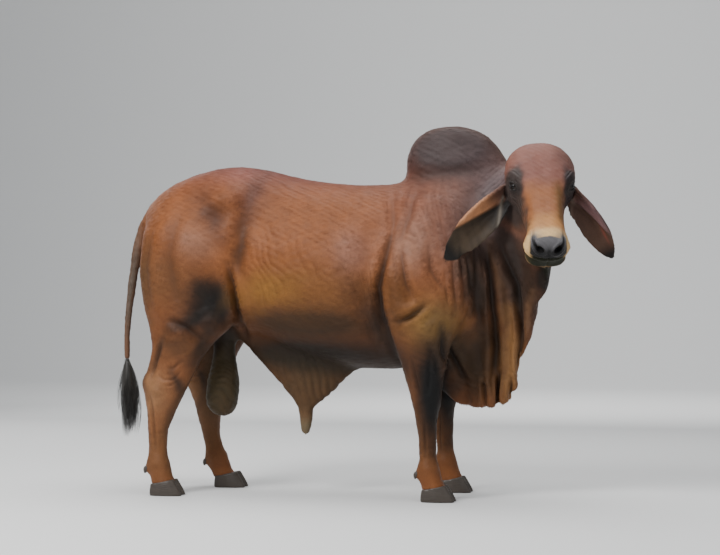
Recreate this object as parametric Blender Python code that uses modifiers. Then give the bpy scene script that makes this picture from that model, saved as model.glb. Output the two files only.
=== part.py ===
"""A life-size red Brahman bull, standing, with its head turned to its right.

Metres, +Z up, +X forwards, +Y to the animal's left. The flesh is modelled whole from lofted
sections, blended, and parted with thin cuts where a person would name its parts.
"""

import math

import bmesh
import bpy
import numpy as np
from mathutils import Matrix, Vector

GAP = 0.0003
FLESH_VOXEL = 0.0065
RING_POINTS = 40

# The trunk, as upright sections along X: x, top, widest height, bottom, half width, squareness above and below.
TORSO = (
    (-0.915, 1.330, 1.180, 1.020, 0.110, 2.0, 2.0),
    (-0.860, 1.385, 1.160, 0.900, 0.190, 2.1, 2.0),
    (-0.740, 1.447, 1.150, 0.820, 0.252, 2.2, 2.0),
    (-0.560, 1.495, 1.140, 0.770, 0.282, 2.3, 2.0),
    (-0.400, 1.490, 1.080, 0.735, 0.292, 2.3, 2.1),
    (-0.180, 1.437, 0.990, 0.635, 0.322, 2.2, 2.2),
    (0.060, 1.408, 0.960, 0.578, 0.328, 2.1, 2.2),
    (0.260, 1.412, 0.980, 0.572, 0.300, 2.0, 2.1),
    (0.440, 1.420, 1.000, 0.600, 0.262, 2.0, 2.0),
    (0.600, 1.370, 1.010, 0.680, 0.200, 2.0, 2.0),
    (0.690, 1.230, 1.010, 0.800, 0.110, 2.0, 2.0),
)

# A foreleg from the shoulder blade down: z, back edge, front edge, middle from the centre plane, half width.
FORELEG = (
    (1.360, 0.340, 0.560, 0.130, 0.080),
    (1.250, 0.285, 0.620, 0.170, 0.110),
    (1.100, 0.235, 0.650, 0.200, 0.122),
    (0.950, 0.220, 0.640, 0.216, 0.122),
    (0.820, 0.228, 0.590, 0.222, 0.112),
    (0.700, 0.262, 0.535, 0.220, 0.092),
    (0.600, 0.296, 0.505, 0.214, 0.076),
    (0.500, 0.330, 0.486, 0.208, 0.064),
    (0.430, 0.346, 0.476, 0.204, 0.063),
    (0.370, 0.358, 0.462, 0.202, 0.054),
    (0.280, 0.372, 0.458, 0.200, 0.042),
    (0.190, 0.376, 0.460, 0.200, 0.042),
    (0.135, 0.366, 0.472, 0.200, 0.053),
    (0.095, 0.384, 0.486, 0.200, 0.050),
    (0.060, 0.392, 0.510, 0.200, 0.058),
    (0.030, 0.396, 0.520, 0.200, 0.058),
)

# A hind leg from the rump down, in the same columns.
HINDLEG = (
    (1.330, -0.840, -0.560, 0.130, 0.090),
    (1.200, -0.905, -0.480, 0.160, 0.122),
    (1.050, -0.925, -0.430, 0.170, 0.134),
    (0.900, -0.912, -0.425, 0.176, 0.128),
    (0.790, -0.885, -0.462, 0.180, 0.112),
    (0.700, -0.862, -0.545, 0.186, 0.090),
    (0.620, -0.862, -0.612, 0.192, 0.072),
    (0.560, -0.880, -0.642, 0.196, 0.062),
    (0.505, -0.895, -0.672, 0.198, 0.058),
    (0.440, -0.886, -0.705, 0.200, 0.056),
    (0.370, -0.876, -0.742, 0.200, 0.049),
    (0.280, -0.872, -0.776, 0.200, 0.042),
    (0.190, -0.868, -0.778, 0.200, 0.043),
    (0.135, -0.876, -0.766, 0.200, 0.053),
    (0.095, -0.858, -0.754, 0.200, 0.050),
    (0.060, -0.850, -0.732, 0.200, 0.058),
    (0.030, -0.846, -0.722, 0.200, 0.058),
)
LEFT_HIND_STEP = 0.185
LEFT_FORE_STEP = 0.015
STEP_HEIGHT = 0.88

# Dewclaws behind each foot: how far behind and above it, how far apart, and their half sizes.
DEWCLAW = (-0.074, 0.122, 0.022)
DEWCLAW_SIZES = (0.022, 0.014, 0.021)

# The hump, as level sections: z, back, front, half width.
HUMP = (
    (1.300, 0.280, 0.800, 0.150),
    (1.400, 0.286, 0.790, 0.138),
    (1.480, 0.274, 0.762, 0.124),
    (1.550, 0.282, 0.726, 0.108),
    (1.610, 0.312, 0.680, 0.088),
    (1.650, 0.366, 0.622, 0.062),
    (1.672, 0.430, 0.560, 0.034),
)

# The neck along its spine: middle x, y, z, then reach up, reach down, half width.
NECK = (
    (0.420, 0.000, 1.080, 0.300, 0.420, 0.245),
    (0.580, -0.010, 1.110, 0.330, 0.400, 0.215),
    (0.710, -0.035, 1.180, 0.300, 0.330, 0.170),
    (0.815, -0.090, 1.265, 0.235, 0.270, 0.135),
    (0.885, -0.165, 1.330, 0.180, 0.215, 0.118),
    (0.915, -0.235, 1.360, 0.145, 0.170, 0.105),
)

# The dewlap, a curtain along the underside: x, y, top, bottom, half thickness at the top and at the hem.
DEWLAP = (
    (0.975, -0.440, 1.120, 1.010, 0.030, 0.014),
    (0.955, -0.370, 1.200, 0.930, 0.040, 0.014),
    (0.920, -0.270, 1.250, 0.845, 0.060, 0.016),
    (0.870, -0.170, 1.200, 0.735, 0.080, 0.018),
    (0.820, -0.090, 1.150, 0.590, 0.095, 0.020),
    (0.770, -0.045, 1.050, 0.470, 0.105, 0.022),
    (0.700, -0.018, 1.000, 0.412, 0.110, 0.024),
    (0.610, -0.005, 0.950, 0.396, 0.105, 0.026),
    (0.520, 0.000, 0.850, 0.410, 0.090, 0.030),
    (0.420, 0.000, 0.750, 0.500, 0.070, 0.034),
    (0.340, 0.000, 0.700, 0.560, 0.050, 0.030),
)

# How far its hem swings, and the lengths of its long and short waves.
DEWLAP_WAVE = (0.017, 0.185, 0.079)

# The sheath under the belly, a curtain in the same columns.
SHEATH = (
    (-0.500, 0.000, 0.800, 0.690, 0.050, 0.022),
    (-0.400, 0.000, 0.780, 0.590, 0.075, 0.028),
    (-0.310, 0.000, 0.760, 0.505, 0.085, 0.032),
    (-0.240, 0.000, 0.740, 0.420, 0.085, 0.034),
    (-0.190, 0.000, 0.720, 0.350, 0.080, 0.034),
    (-0.140, 0.000, 0.700, 0.395, 0.080, 0.034),
    (-0.070, 0.000, 0.690, 0.450, 0.080, 0.034),
    (0.010, 0.000, 0.670, 0.530, 0.070, 0.032),
    (0.080, 0.000, 0.650, 0.575, 0.050, 0.026),
)

# The head's own frame: the poll, the way the face points, and how steeply it slopes.
POLL = Vector((0.912, -0.222, 1.548))
FACE_TURN = math.radians(13.5)
FACE_SLOPE = math.radians(50)

# The skull and nose along the face: distance from the poll, middle depth, half height, half width, squareness.
SKULL = (
    (-0.070, -0.110, 0.050, 0.070, 2.0),
    (-0.030, -0.082, 0.090, 0.112, 2.2),
    (0.030, -0.080, 0.104, 0.150, 2.6),
    (0.110, -0.088, 0.112, 0.156, 2.7),
    (0.190, -0.090, 0.105, 0.138, 2.7),
    (0.260, -0.088, 0.092, 0.099, 2.6),
    (0.340, -0.082, 0.080, 0.083, 2.5),
    (0.420, -0.076, 0.072, 0.080, 2.4),
    (0.480, -0.070, 0.067, 0.088, 2.3),
    (0.530, -0.066, 0.060, 0.089, 2.3),
    (0.565, -0.066, 0.046, 0.072, 2.2),
)

# The lower jaw in the same columns.
JAW = (
    (-0.010, -0.150, 0.080, 0.072, 2.1),
    (0.060, -0.198, 0.078, 0.090, 2.2),
    (0.150, -0.194, 0.066, 0.088, 2.2),
    (0.270, -0.162, 0.052, 0.068, 2.2),
    (0.390, -0.142, 0.044, 0.058, 2.2),
    (0.470, -0.138, 0.040, 0.062, 2.2),
    (0.525, -0.138, 0.032, 0.050, 2.0),
)

# The scrotum, as level sections: z, back, front, half width.
SCROTUM = (
    (0.800, -0.640, -0.500, 0.060),
    (0.700, -0.628, -0.512, 0.046),
    (0.600, -0.632, -0.506, 0.050),
    (0.500, -0.652, -0.498, 0.070),
    (0.420, -0.656, -0.504, 0.072),
    (0.365, -0.630, -0.524, 0.052),
    (0.345, -0.596, -0.556, 0.020),
)

# The opening of the sheath, a short tube: z, back, front, half width.
SHEATH_TIP = (
    (0.480, -0.245, -0.135, 0.040),
    (0.400, -0.222, -0.142, 0.036),
    (0.330, -0.214, -0.150, 0.030),
    (0.275, -0.206, -0.160, 0.022),
    (0.262, -0.196, -0.172, 0.012),
)

# Rounded forms on the head in its own frame: place, then half sizes. Those off the middle are paired.
HEAD_FORMS = (
    ((0.050, 0.000, -0.045), (0.110, 0.105, 0.062)),  # forehead dome
    ((0.150, 0.104, -0.042), (0.062, 0.040, 0.040)),  # brow over the eye
    ((0.120, 0.074, -0.160), (0.105, 0.034, 0.082)),  # cheek
    ((0.235, 0.062, -0.118), (0.120, 0.030, 0.032)),  # ridge from cheek to nose
    ((0.520, 0.048, -0.050), (0.046, 0.036, 0.044)),  # nostril wing
    ((0.500, 0.000, -0.086), (0.076, 0.082, 0.044)),  # upper lip
    ((0.502, 0.000, -0.152), (0.050, 0.056, 0.034)),  # chin
)
EYE = Vector((0.190, 0.114, -0.046))
EYE_RADIUS = 0.0215
LID = 0.0050
EYE_LOOKS = Vector((0.30, 0.82, 0.36)).normalized()
EYE_SLIT = (0.0185, 0.0120, 0.040)

# Muscle and bone on the right and left: place, half sizes and how far the skin rises, or sinks if negative.
RISES = (
    ((-0.505, 0.262, 1.360), (0.060, 0.060, 0.050), 0.024),  # hip bone
    ((-0.895, 0.115, 1.260), (0.045, 0.050, 0.050), 0.016),  # pin bone
    ((-0.350, 0.290, 1.235), (0.095, 0.080, 0.095), -0.026),  # hollow of the flank
    ((-0.680, 0.250, 1.340), (0.100, 0.080, 0.050), -0.014),  # hollow behind the hip
    ((-0.690, 0.290, 1.160), (0.110, 0.080, 0.100), 0.012),  # thigh joint
    ((-0.480, 0.270, 0.960), (0.050, 0.080, 0.120), -0.020),  # fold before the thigh
    ((-0.030, 0.330, 1.020), (0.300, 0.120, 0.200), 0.012),  # spring of the ribs
    ((0.185, 0.310, 1.000), (0.045, 0.090, 0.230), -0.026),  # hollow behind the shoulder
    ((0.430, 0.240, 1.240), (0.045, 0.080, 0.150), 0.014),  # ridge of the shoulder blade
    ((0.600, 0.260, 0.980), (0.060, 0.080, 0.070), 0.022),  # point of the shoulder
    ((0.320, 0.330, 0.930), (0.080, 0.080, 0.120), 0.024),  # back of the upper arm
    ((0.450, 0.320, 0.860), (0.040, 0.080, 0.090), -0.014),  # groove of the upper arm
)

# Folds of loose skin on neck and dewlap: how deep, how far apart, and where they are strongest.
FOLD_DEPTH = 0.0045
FOLD_PITCH = 0.052
FOLD_MIDDLE = (0.760, -0.100, 0.900)
FOLD_SIZES = (0.190, 0.330, 0.360)

# Nostrils and mouth in the head's frame.
NOSTRIL = Vector((0.556, 0.049, -0.046))
NOSTRIL_SIZES = (0.045, 0.0125, 0.0095)
NOSTRIL_DEPTH = 0.024
MOUTH_FRONT = -0.112
MOUTH_RISE = -0.05
MOUTH_CORNER = 0.415
MOUTH_DEPTH = 0.0075

# An ear along its length: share, half width laid flat, half the roll in radians, thickness.
EAR = (
    (0.00, 0.044, 1.90, 0.014),
    (0.14, 0.064, 1.60, 0.011),
    (0.30, 0.080, 1.20, 0.009),
    (0.50, 0.087, 0.95, 0.008),
    (0.70, 0.080, 0.75, 0.008),
    (0.86, 0.057, 0.56, 0.007),
    (0.96, 0.029, 0.44, 0.006),
    (1.00, 0.010, 0.40, 0.005),
)
# Each ear's root, tip, the way its hollow looks, how far its length bows out, and where it bows to.
EARS = {
    "right": ((0.792, -0.222, 1.392), (0.512, -0.330, 1.068), (-0.25, -0.78, -0.60), (0.006, 0.0, -0.002)),
    "left": ((1.024, -0.168, 1.408), (1.222, -0.105, 1.062), (-0.50, -0.84, -0.22), (0.010, 0.0, 0.010)),
}

# The tail along its length: place and radius.
TAIL = (
    (-0.820, 0.000, 1.320, 0.052),
    (-0.880, 0.000, 1.322, 0.043),
    (-0.930, -0.002, 1.290, 0.036),
    (-0.960, -0.006, 1.215, 0.030),
    (-0.985, -0.012, 1.100, 0.024),
    (-1.005, -0.018, 0.980, 0.020),
    (-1.020, -0.024, 0.850, 0.016),
    (-1.029, -0.029, 0.730, 0.013),
    (-1.029, -0.029, 0.610, 0.012),
)
TAIL_STUB = (-0.965, 0.000, 1.215)
TAIL_RINGS = 41
TAIL_ROOT = 14
TAIL_SPLIT = 24
SWITCH_TOP = 0.610
SWITCH_CORE = 0.170
SWITCH_LOCKS = 18
LOCK_WIDTH = 0.0200
SWITCH_LEAN = 0.014
LOCK_THICKNESS = 0.0060
SWITCH_TIP = 0.236

# A claw as level sections from its sole up: z, back, front, inner side, outer side.
CLAW = (
    (0.000, -0.056, 0.092, 0.0035, 0.054),
    (0.010, -0.059, 0.093, 0.0030, 0.057),
    (0.040, -0.056, 0.076, 0.0030, 0.057),
    (0.070, -0.050, 0.058, 0.0030, 0.054),
    (0.100, -0.044, 0.040, 0.0030, 0.050),
)
CORONET = 0.064
CORONET_SLOPE = 0.20
FORE_FOOT = 0.446
HIND_FOOT = -0.796

# Where the flesh is parted: heights, and lines given by a place and a slope.
KNEE_CUT = 0.372
ELBOW_CUT = ((0.430, 0.745), -0.25)
HOCK_CUT = 0.600
THIGH_CUT = ((-0.680, 0.935), -0.38)
SHEATH_CUT = ((-0.400, 0.700), -0.34)
DEWLAP_CUT = ((0.580, 0.690), 1.43)
NECK_CUT = ((0.672, 1.200), 4.5)
HUMP_CUT = ((0.300, 1.428), 0.13)
CHEST_CUT = ((0.205, 1.000), 9.0)
RUMP_CUT = ((-0.400, 1.000), -12.0)
HEAD_CUTS = (
    ((-0.020, 0.0, -0.140), (0.9615, 0.0, 0.2747)),  # behind the jaw
    ((0.270, 0.0, -0.226), (-0.26, 0.0, 0.966)),  # under the jaw
    ((0.000, -0.168, 0.0), (0.0, 1.0, 0.0)),  # beside it on the right
    ((0.000, 0.168, 0.0), (0.0, -1.0, 0.0)),  # and on the left
)

HEAD_MARGIN = 0.02
BODY_TRIANGLES = 5300
HEAD_TRIANGLES = 3200

RED_BROWN = (0.230, 0.085, 0.045)
DARK_BROWN = (0.110, 0.045, 0.030)
GREY_BROWN = (0.120, 0.070, 0.060)
BLACK_HAIR = (0.018, 0.014, 0.013)
HORN = (0.060, 0.050, 0.042)
EYE_BROWN = (0.020, 0.010, 0.006)


def spread(table, count):
    """Resample a table of sections to count rows on a smooth curve through them."""
    rows = np.array(table, float)
    knots = np.arange(len(rows), dtype=float)
    at = np.linspace(0, len(rows) - 1, count)
    low = np.clip(at.astype(int), 0, len(rows) - 2)
    t = (at - knots[low])[:, None]
    slope = np.gradient(rows, axis=0)
    p0, p1, m0, m1 = rows[low], rows[low + 1], slope[low], slope[low + 1]
    return (
        (2 * t**3 - 3 * t**2 + 1) * p0
        + (t**3 - 2 * t**2 + t) * m0
        + (-2 * t**3 + 3 * t**2) * p1
        + (t**3 - t**2) * m1
    )


def oval(power_above=2.0, power_below=None, count=RING_POINTS):
    """Across and up shares of a squared oval, with its own squareness above and below the middle."""
    turn = np.linspace(0, 2 * math.pi, count, endpoint=False)
    across, up = np.cos(turn), np.sin(turn)
    power = np.where(up >= 0, 2 / power_above, 2 / (power_below or power_above))
    return np.sign(across) * abs(across) ** power, np.sign(up) * abs(up) ** power


def loft(rings):
    """A closed mesh through rings of points, as vertices and faces."""
    rings = np.asarray(rings, float)
    rows, around = rings.shape[:2]
    faces = []
    for i in range(rows - 1):
        for j in range(around):
            k = (j + 1) % around
            faces.append((i * around + j, i * around + k, (i + 1) * around + k, (i + 1) * around + j))
    faces.append(tuple(range(around))[::-1])
    faces.append(tuple((rows - 1) * around + j for j in range(around)))
    return rings.reshape(-1, 3), faces


def object_from(name, vertices, faces, collection=None):
    """A mesh object with faces pointing out."""
    mesh = bpy.data.meshes.new(name)
    mesh.from_pydata([tuple(v) for v in vertices], [], [tuple(f) for f in faces])
    work = bmesh.new()
    work.from_mesh(mesh)
    bmesh.ops.recalc_face_normals(work, faces=work.faces)
    work.to_mesh(mesh)
    work.free()
    made = bpy.data.objects.new(name, mesh)
    (collection or bpy.context.scene.collection).objects.link(made)
    return made


def torso_rings(table, count):
    """Upright rings along X."""
    rings = []
    for x, top, wide, bottom, half, above, below in spread(table, count):
        across, up = oval(above, below)
        height = np.where(up >= 0, top - wide, wide - bottom)
        rings.append(np.stack([np.full(len(up), x), half * across, wide + height * up], 1))
    return rings


def leg_rings(table, side, step, count):
    """Level rings down a leg, each moved forwards by its share of the step."""
    rings = []
    for z, back, front, middle, half in spread(table, count):
        across, up = oval(2.15)
        ahead = step * np.clip((STEP_HEIGHT - z) / STEP_HEIGHT, 0, 1)
        x = (back + front) / 2 + ahead + (front - back) / 2 * up
        rings.append(np.stack([x, side * middle + half * across, np.full(len(up), z)], 1))
    return rings


def level_rings(table, count):
    """Level rings of a form on the centre plane."""
    rings = []
    for z, back, front, half in spread(table, count):
        across, up = oval(2.1)
        x = (back + front) / 2 + (front - back) / 2 * up
        rings.append(np.stack([x, half * across, np.full(len(up), z)], 1))
    return rings


def spine_rings(table, count):
    """Rings square to a spine, with their own reach up and down."""
    rows = spread(table, count)
    heading = np.gradient(rows[:, :3], axis=0)
    rings = []
    for row, forward in zip(rows, heading):
        forward = forward / np.linalg.norm(forward)
        side = np.cross((0, 0, 1), forward)
        side /= np.linalg.norm(side)
        rise = np.cross(forward, side)
        across, up = oval(2.1)
        reach = np.where(up >= 0, row[3], row[4])
        rings.append(row[:3] + np.outer(row[5] * across, side) + np.outer(reach * up, rise))
    return rings


def curtain_rings(table, count, wave=(0, 1, 1)):
    """Upright rings across a hanging fold, thick above and thin at its hem, which swings in waves."""
    rows = spread(table, count)
    heading = np.gradient(rows[:, :2], axis=0)
    swing, long_wave, short_wave = wave
    travelled = 0
    rings = []
    for (x, y, top, bottom, thick, hem), (ahead, aside) in zip(rows, heading):
        size = math.hypot(ahead, aside)
        travelled += size
        side = np.array([-aside / size, ahead / size, 0])
        across, up = oval(2.6)
        share = (up + 1) / 2
        half = hem + (thick - hem) * share**1.3
        height = (top + bottom) / 2 + (top - bottom) / 2 * up
        middle = np.stack([np.full(len(up), x), np.full(len(up), y), height], 1)
        phase = 2 * math.pi * travelled
        sway = swing * (1 - share) ** 1.2 * (math.sin(phase / long_wave) + 0.6 * math.sin(phase / short_wave))
        rings.append(middle + np.outer(half * across + sway, side))
    return rings


def head_matrix():
    """From the head's own frame, along the face, to its left and out of the face, to the world."""
    facing = Vector((math.sin(FACE_TURN), -math.cos(FACE_TURN), 0))
    along = facing * math.cos(FACE_SLOPE) - Vector((0, 0, math.sin(FACE_SLOPE)))
    out = facing * math.sin(FACE_SLOPE) + Vector((0, 0, math.cos(FACE_SLOPE)))
    left = out.cross(along)
    turned = Matrix((along, left, out)).transposed().to_4x4()
    return Matrix.Translation(POLL) @ turned


def in_head(points):
    """World places of points in the head's own frame."""
    matrix = np.array(head_matrix())
    return np.asarray(points, float) @ matrix[:3, :3].T + matrix[:3, 3]


def head_rings(table, count):
    """Rings across the head."""
    rings = []
    for along, middle, half_height, half_width, power in spread(table, count):
        across, up = oval(power)
        local = np.stack([np.full(len(up), along), half_width * across, middle + half_height * up], 1)
        rings.append(in_head(local))
    return rings


def ball(middle, radii, axes=None, around=28):
    """A closed ellipsoid as vertices and faces, with its axes given as columns."""
    work = bmesh.new()
    bmesh.ops.create_uvsphere(work, u_segments=around, v_segments=around // 2, radius=1)
    unit = np.array([vertex.co for vertex in work.verts])
    faces = [tuple(vertex.index for vertex in face.verts) for face in work.faces]
    work.free()
    axes = np.eye(3) if axes is None else np.asarray(axes, float)
    return np.asarray(middle, float) + (unit * np.asarray(radii, float)) @ axes.T, faces


def paired(place):
    """A place in the head's frame and its mirror image, or the place alone on the middle line."""
    along, aside, out = place
    return [place] if aside == 0 else [place, (along, -aside, out)]


def flesh_forms():
    """Every form that the flesh is blended from."""
    forms = [
        loft(torso_rings(TORSO, 40)),
        loft(level_rings(HUMP, 18)),
        loft(spine_rings(NECK, 24)),
        loft(curtain_rings(DEWLAP, 60, DEWLAP_WAVE)),
        loft(curtain_rings(SHEATH, 32)),
        loft(level_rings(SHEATH_TIP, 10)),
        loft(level_rings(SCROTUM, 20)),
        loft(head_rings(SKULL, 34)),
        loft(head_rings(JAW, 24)),
    ]
    turned = np.array(head_matrix())[:3, :3]
    for place, radii in HEAD_FORMS:
        forms += [ball(in_head([spot])[0], radii, turned) for spot in paired(place)]
    forms += [ball(in_head([spot])[0], [EYE_RADIUS + LID] * 3, turned) for spot in paired(EYE)]
    for side in (-1, 1):
        forms.append(loft(leg_rings(FORELEG, side, LEFT_FORE_STEP * (side > 0), 60)))
        forms.append(loft(leg_rings(HINDLEG, side, LEFT_HIND_STEP * (side > 0), 60)))
    behind, height, apart = DEWCLAW
    for _, side, foot, step, aside in FEET:
        back = foot + step_at(step, height) + behind
        for way in (-1, 1):
            forms.append(ball((back, side * aside + way * apart, height), DEWCLAW_SIZES, around=12))
    forms.append(loft(tube_rings(TAIL, TAIL_RINGS)[: TAIL_ROOT + 4]))
    return forms


def mesh_object(forms, name):
    """One object that holds several closed forms."""
    vertices, faces, start = [], [], 0
    for points, polygons in forms:
        vertices.append(points)
        faces += [tuple(start + i for i in polygon) for polygon in polygons]
        start += len(points)
    return object_from(name, np.concatenate(vertices), faces)


def settle(made):
    """Apply an object's modifiers."""
    graph = bpy.context.evaluated_depsgraph_get()
    made.data = bpy.data.meshes.new_from_object(made.evaluated_get(graph))
    made.modifiers.clear()
    return made


def blended(forms, voxel):
    """One closed skin round overlapping forms."""
    made = mesh_object(forms, "flesh")
    remesh = made.modifiers.new("blend", "REMESH")
    remesh.mode = "VOXEL"
    remesh.voxel_size = voxel
    return settle(made)


def places_of(mesh):
    """A mesh's vertices as an array."""
    places = np.empty(len(mesh.vertices) * 3)
    mesh.vertices.foreach_get("co", places)
    return places.reshape(-1, 3)


def put_places(mesh, places):
    """Move a mesh's vertices."""
    mesh.vertices.foreach_set("co", np.asarray(places, np.float32).ravel())
    mesh.update()


def normals_of(mesh):
    """The way out at each vertex."""
    ways = np.empty(len(mesh.vertices) * 3, np.float32)
    mesh.vertex_normals.foreach_get("vector", ways)
    return ways.reshape(-1, 3)


def nearness(places, middle, sizes):
    """1 at a middle, falling smoothly to nothing a few sizes away."""
    away = (places - np.asarray(middle)) / np.asarray(sizes)
    return np.exp(-(away**2).sum(1))


def softness(places):
    """How freely each place of the flesh is smoothed: most on the trunk, least on face and feet."""
    face = nearness(places, in_head([(0.26, 0, -0.08)])[0], (0.24, 0.30, 0.30))
    feet = np.clip((0.78 - places[:, 2]) / 0.25, 0, 1)
    tail = nearness(places, TAIL_STUB, (0.05, 0.06, 0.07))
    return np.clip(1 - 1.6 * face, 0.02, 1) * (1 - 0.93 * feet) * (1 - 0.9 * tail)


def soften(mesh, weights, rounds):
    """Pull each vertex towards the middle of its neighbours."""
    ends = np.empty(len(mesh.edges) * 2, np.int32)
    mesh.edges.foreach_get("vertices", ends)
    first, second = ends.reshape(-1, 2).T
    places = places_of(mesh)
    count = len(places)
    share = np.bincount(first, minlength=count) + np.bincount(second, minlength=count)
    for _ in range(rounds):
        total = np.stack(
            [
                np.bincount(first, places[second, k], count) + np.bincount(second, places[first, k], count)
                for k in range(3)
            ],
            1,
        )
        places += 0.5 * weights[:, None] * (total / share[:, None] - places)
    put_places(mesh, places)


def sculpt(mesh):
    """Raise bones and muscles and sink the hollows between them."""
    places, ways = places_of(mesh), normals_of(mesh)
    lift = np.zeros(len(places))
    for (x, y, z), sizes, rise in RISES:
        for side in (-1, 1):
            lift += rise * nearness(places, (x, side * y, z), sizes)
    steep = np.abs(ways[:, 2]) < 0.7
    wave = np.sin(2 * math.pi * (places[:, 0] + 0.25 * places[:, 2]) / FOLD_PITCH)
    lift += FOLD_DEPTH * wave * steep * nearness(places, FOLD_MIDDLE, FOLD_SIZES)
    put_places(mesh, places + lift[:, None] * ways)


def make_flesh():
    """The whole animal's flesh as one fine mesh."""
    flesh = blended(flesh_forms(), FLESH_VOXEL)
    mesh = flesh.data
    soften(mesh, softness(places_of(mesh)), 110)
    sculpt(mesh)
    soften(mesh, np.full(len(mesh.vertices), 0.5), 3)
    return flesh


def from_head(places):
    """World places in the head's own frame."""
    matrix = np.array(head_matrix())
    return (places - matrix[:3, 3]) @ matrix[:3, :3]


def mouth_height(along):
    """How deep under the face the line of the mouth runs."""
    return MOUTH_FRONT + MOUTH_RISE * (0.56 - along)


def carve_head(mesh):
    """Sink nostrils and mouth line and swell the lips on a fine mesh of the head."""
    matrix = np.array(head_matrix())
    world = places_of(mesh)
    ways = normals_of(mesh) @ matrix[:3, :3]
    local = from_head(world)
    moved = local.copy()
    for side in (-1, 1):
        inwards = np.array((-0.86, -0.30 * side, -0.42))
        middle = np.array(NOSTRIL) * (1, side, 1)
        rim = nearness(local, middle, np.array(NOSTRIL_SIZES) * (1.0, 2.0, 2.2))
        moved += 0.007 * rim[:, None] * ways
        hole = nearness(local, middle, NOSTRIL_SIZES)
        slit = nearness(local, middle + (-0.012, 0.016 * side, 0.004), np.array(NOSTRIL_SIZES) * (1, 0.9, 0.6))
        moved += NOSTRIL_DEPTH * np.maximum(hole, 0.7 * slit)[:, None] * inwards
    along, _, height = local.T
    reach = np.clip((along - MOUTH_CORNER) / 0.035, 0, 1)
    below = height - mouth_height(along)
    lips = 0.0040 * np.exp(-(((below - 0.015) / 0.011) ** 2)) + 0.0030 * np.exp(-(((below + 0.013) / 0.009) ** 2))
    line = MOUTH_DEPTH * np.exp(-((below / 0.0042) ** 2))
    moved += (reach * (lips - line))[:, None] * ways
    put_places(mesh, moved @ matrix[:3, :3].T + matrix[:3, 3])
    soften(mesh, np.full(len(mesh.vertices), 0.35), 2)


def copy_of(made, name):
    """A copy of an object with a mesh of its own."""
    copy = made.copy()
    copy.data = made.data.copy()
    copy.name = name
    bpy.context.scene.collection.objects.link(copy)
    return copy


def wedge(planes, grow=0.0):
    """A solid that fills the space on the inner side of every plane, with each plane moved out by grow."""
    work = bmesh.new()
    bmesh.ops.create_cube(work, size=8)
    for place, inwards in planes:
        normal = Vector(inwards).normalized()
        everything = list(work.verts) + list(work.edges) + list(work.faces)
        cut = bmesh.ops.bisect_plane(
            work, geom=everything, plane_co=Vector(place) - normal * grow, plane_no=normal, clear_inner=True
        )
        rim = [item for item in cut["geom_cut"] if isinstance(item, bmesh.types.BMEdge)]
        bmesh.ops.contextual_create(work, geom=rim)
    bmesh.ops.recalc_face_normals(work, faces=work.faces)
    mesh = bpy.data.meshes.new("wedge")
    work.to_mesh(mesh)
    work.free()
    made = bpy.data.objects.new("wedge", mesh)
    bpy.context.scene.collection.objects.link(made)
    return made


def combine(made, cutter, operation, solver="EXACT"):
    """Apply a Boolean with a cutter, which is then removed."""
    change = made.modifiers.new("cut", "BOOLEAN")
    change.operation = operation
    change.solver = solver
    change.object = cutter
    settle(made)
    bpy.data.objects.remove(cutter)
    return made


def volume_of(faces):
    """The signed volume inside a set of faces."""
    total = 0.0
    for face in faces:
        corners = [vertex.co for vertex in face.verts]
        for i in range(1, len(corners) - 1):
            total += corners[0].dot(corners[i].cross(corners[i + 1])) / 6
    return total


def keep_largest(made):
    """Drop every closed surface of an object but the one that holds most."""
    work = bmesh.new()
    work.from_mesh(made.data)
    bmesh.ops.triangulate(work, faces=work.faces)
    bmesh.ops.remove_doubles(work, verts=work.verts, dist=1e-6)
    bmesh.ops.dissolve_degenerate(work, edges=work.edges, dist=1e-6)
    left = set(work.faces)
    shells = []
    while left:
        front = [left.pop()]
        shell = list(front)
        while front:
            face = front.pop()
            for edge in face.edges:
                for other in edge.link_faces:
                    if other in left:
                        left.remove(other)
                        front.append(other)
                        shell.append(other)
        shells.append(shell)
    shells.sort(key=volume_of)
    loose = [face for shell in shells[:-1] for face in shell]
    bmesh.ops.delete(work, geom=loose, context="FACES")
    work.to_mesh(made.data)
    work.free()
    return made


def thinned(made, triangles):
    """Collapse an object's mesh to about a number of triangles."""
    fewer = made.modifiers.new("fewer", "DECIMATE")
    fewer.ratio = triangles / sum(len(face.vertices) - 2 for face in made.data.polygons)
    return settle(made)


def part_off(flesh, name, planes):
    """Take the piece inside the planes out of the flesh, with a thin gap all round it."""
    piece = combine(copy_of(flesh, name), wedge(planes), "INTERSECT")
    combine(flesh, wedge(planes, GAP), "DIFFERENCE")
    keep_largest(flesh)
    return keep_largest(piece)


def slab(x=None, y=None, z=None):
    """Planes that keep what lies between two values of a coordinate; None is open."""
    planes = []
    for axis, limits in enumerate((x, y, z)):
        for value, way in zip(limits or (None, None), (1, -1)):
            if value is None:
                continue
            place, normal = [0, 0, 0], [0, 0, 0]
            place[axis], normal[axis] = value, way
            planes.append((place, normal))
    return planes


def under(line, way=-1):
    """A plane across the body that keeps what lies under a line in side view, or over it with way 1."""
    (x, z), slope = line
    return ((x, 0, z), (-slope * way, 0, way))


def ahead_of(line, way=1):
    """A steep plane across the body that keeps what lies in front of a line in side view, or behind it."""
    (x, z), slope = line
    return ((x, 0, z), (way, 0, -way / slope))


def head_planes():
    """The planes that bound the head, in the world."""
    matrix = head_matrix()
    return [(matrix @ Vector(place), matrix.to_3x3() @ Vector(way)) for place, way in HEAD_CUTS]


def step_at(step, z):
    """How far a leg that is set forwards has moved at a height."""
    return step * max(STEP_HEIGHT - z, 0) / STEP_HEIGHT


def sided(side, inner):
    """Limits across the body that keep one side of it, from a distance off the centre plane outwards."""
    return (inner, None) if side > 0 else (None, -inner)


def coronet_plane(foot, way):
    """The sloping plane between a foot and its claws."""
    return ((foot, 0, CORONET), (-CORONET_SLOPE * way, 0, way))


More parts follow.
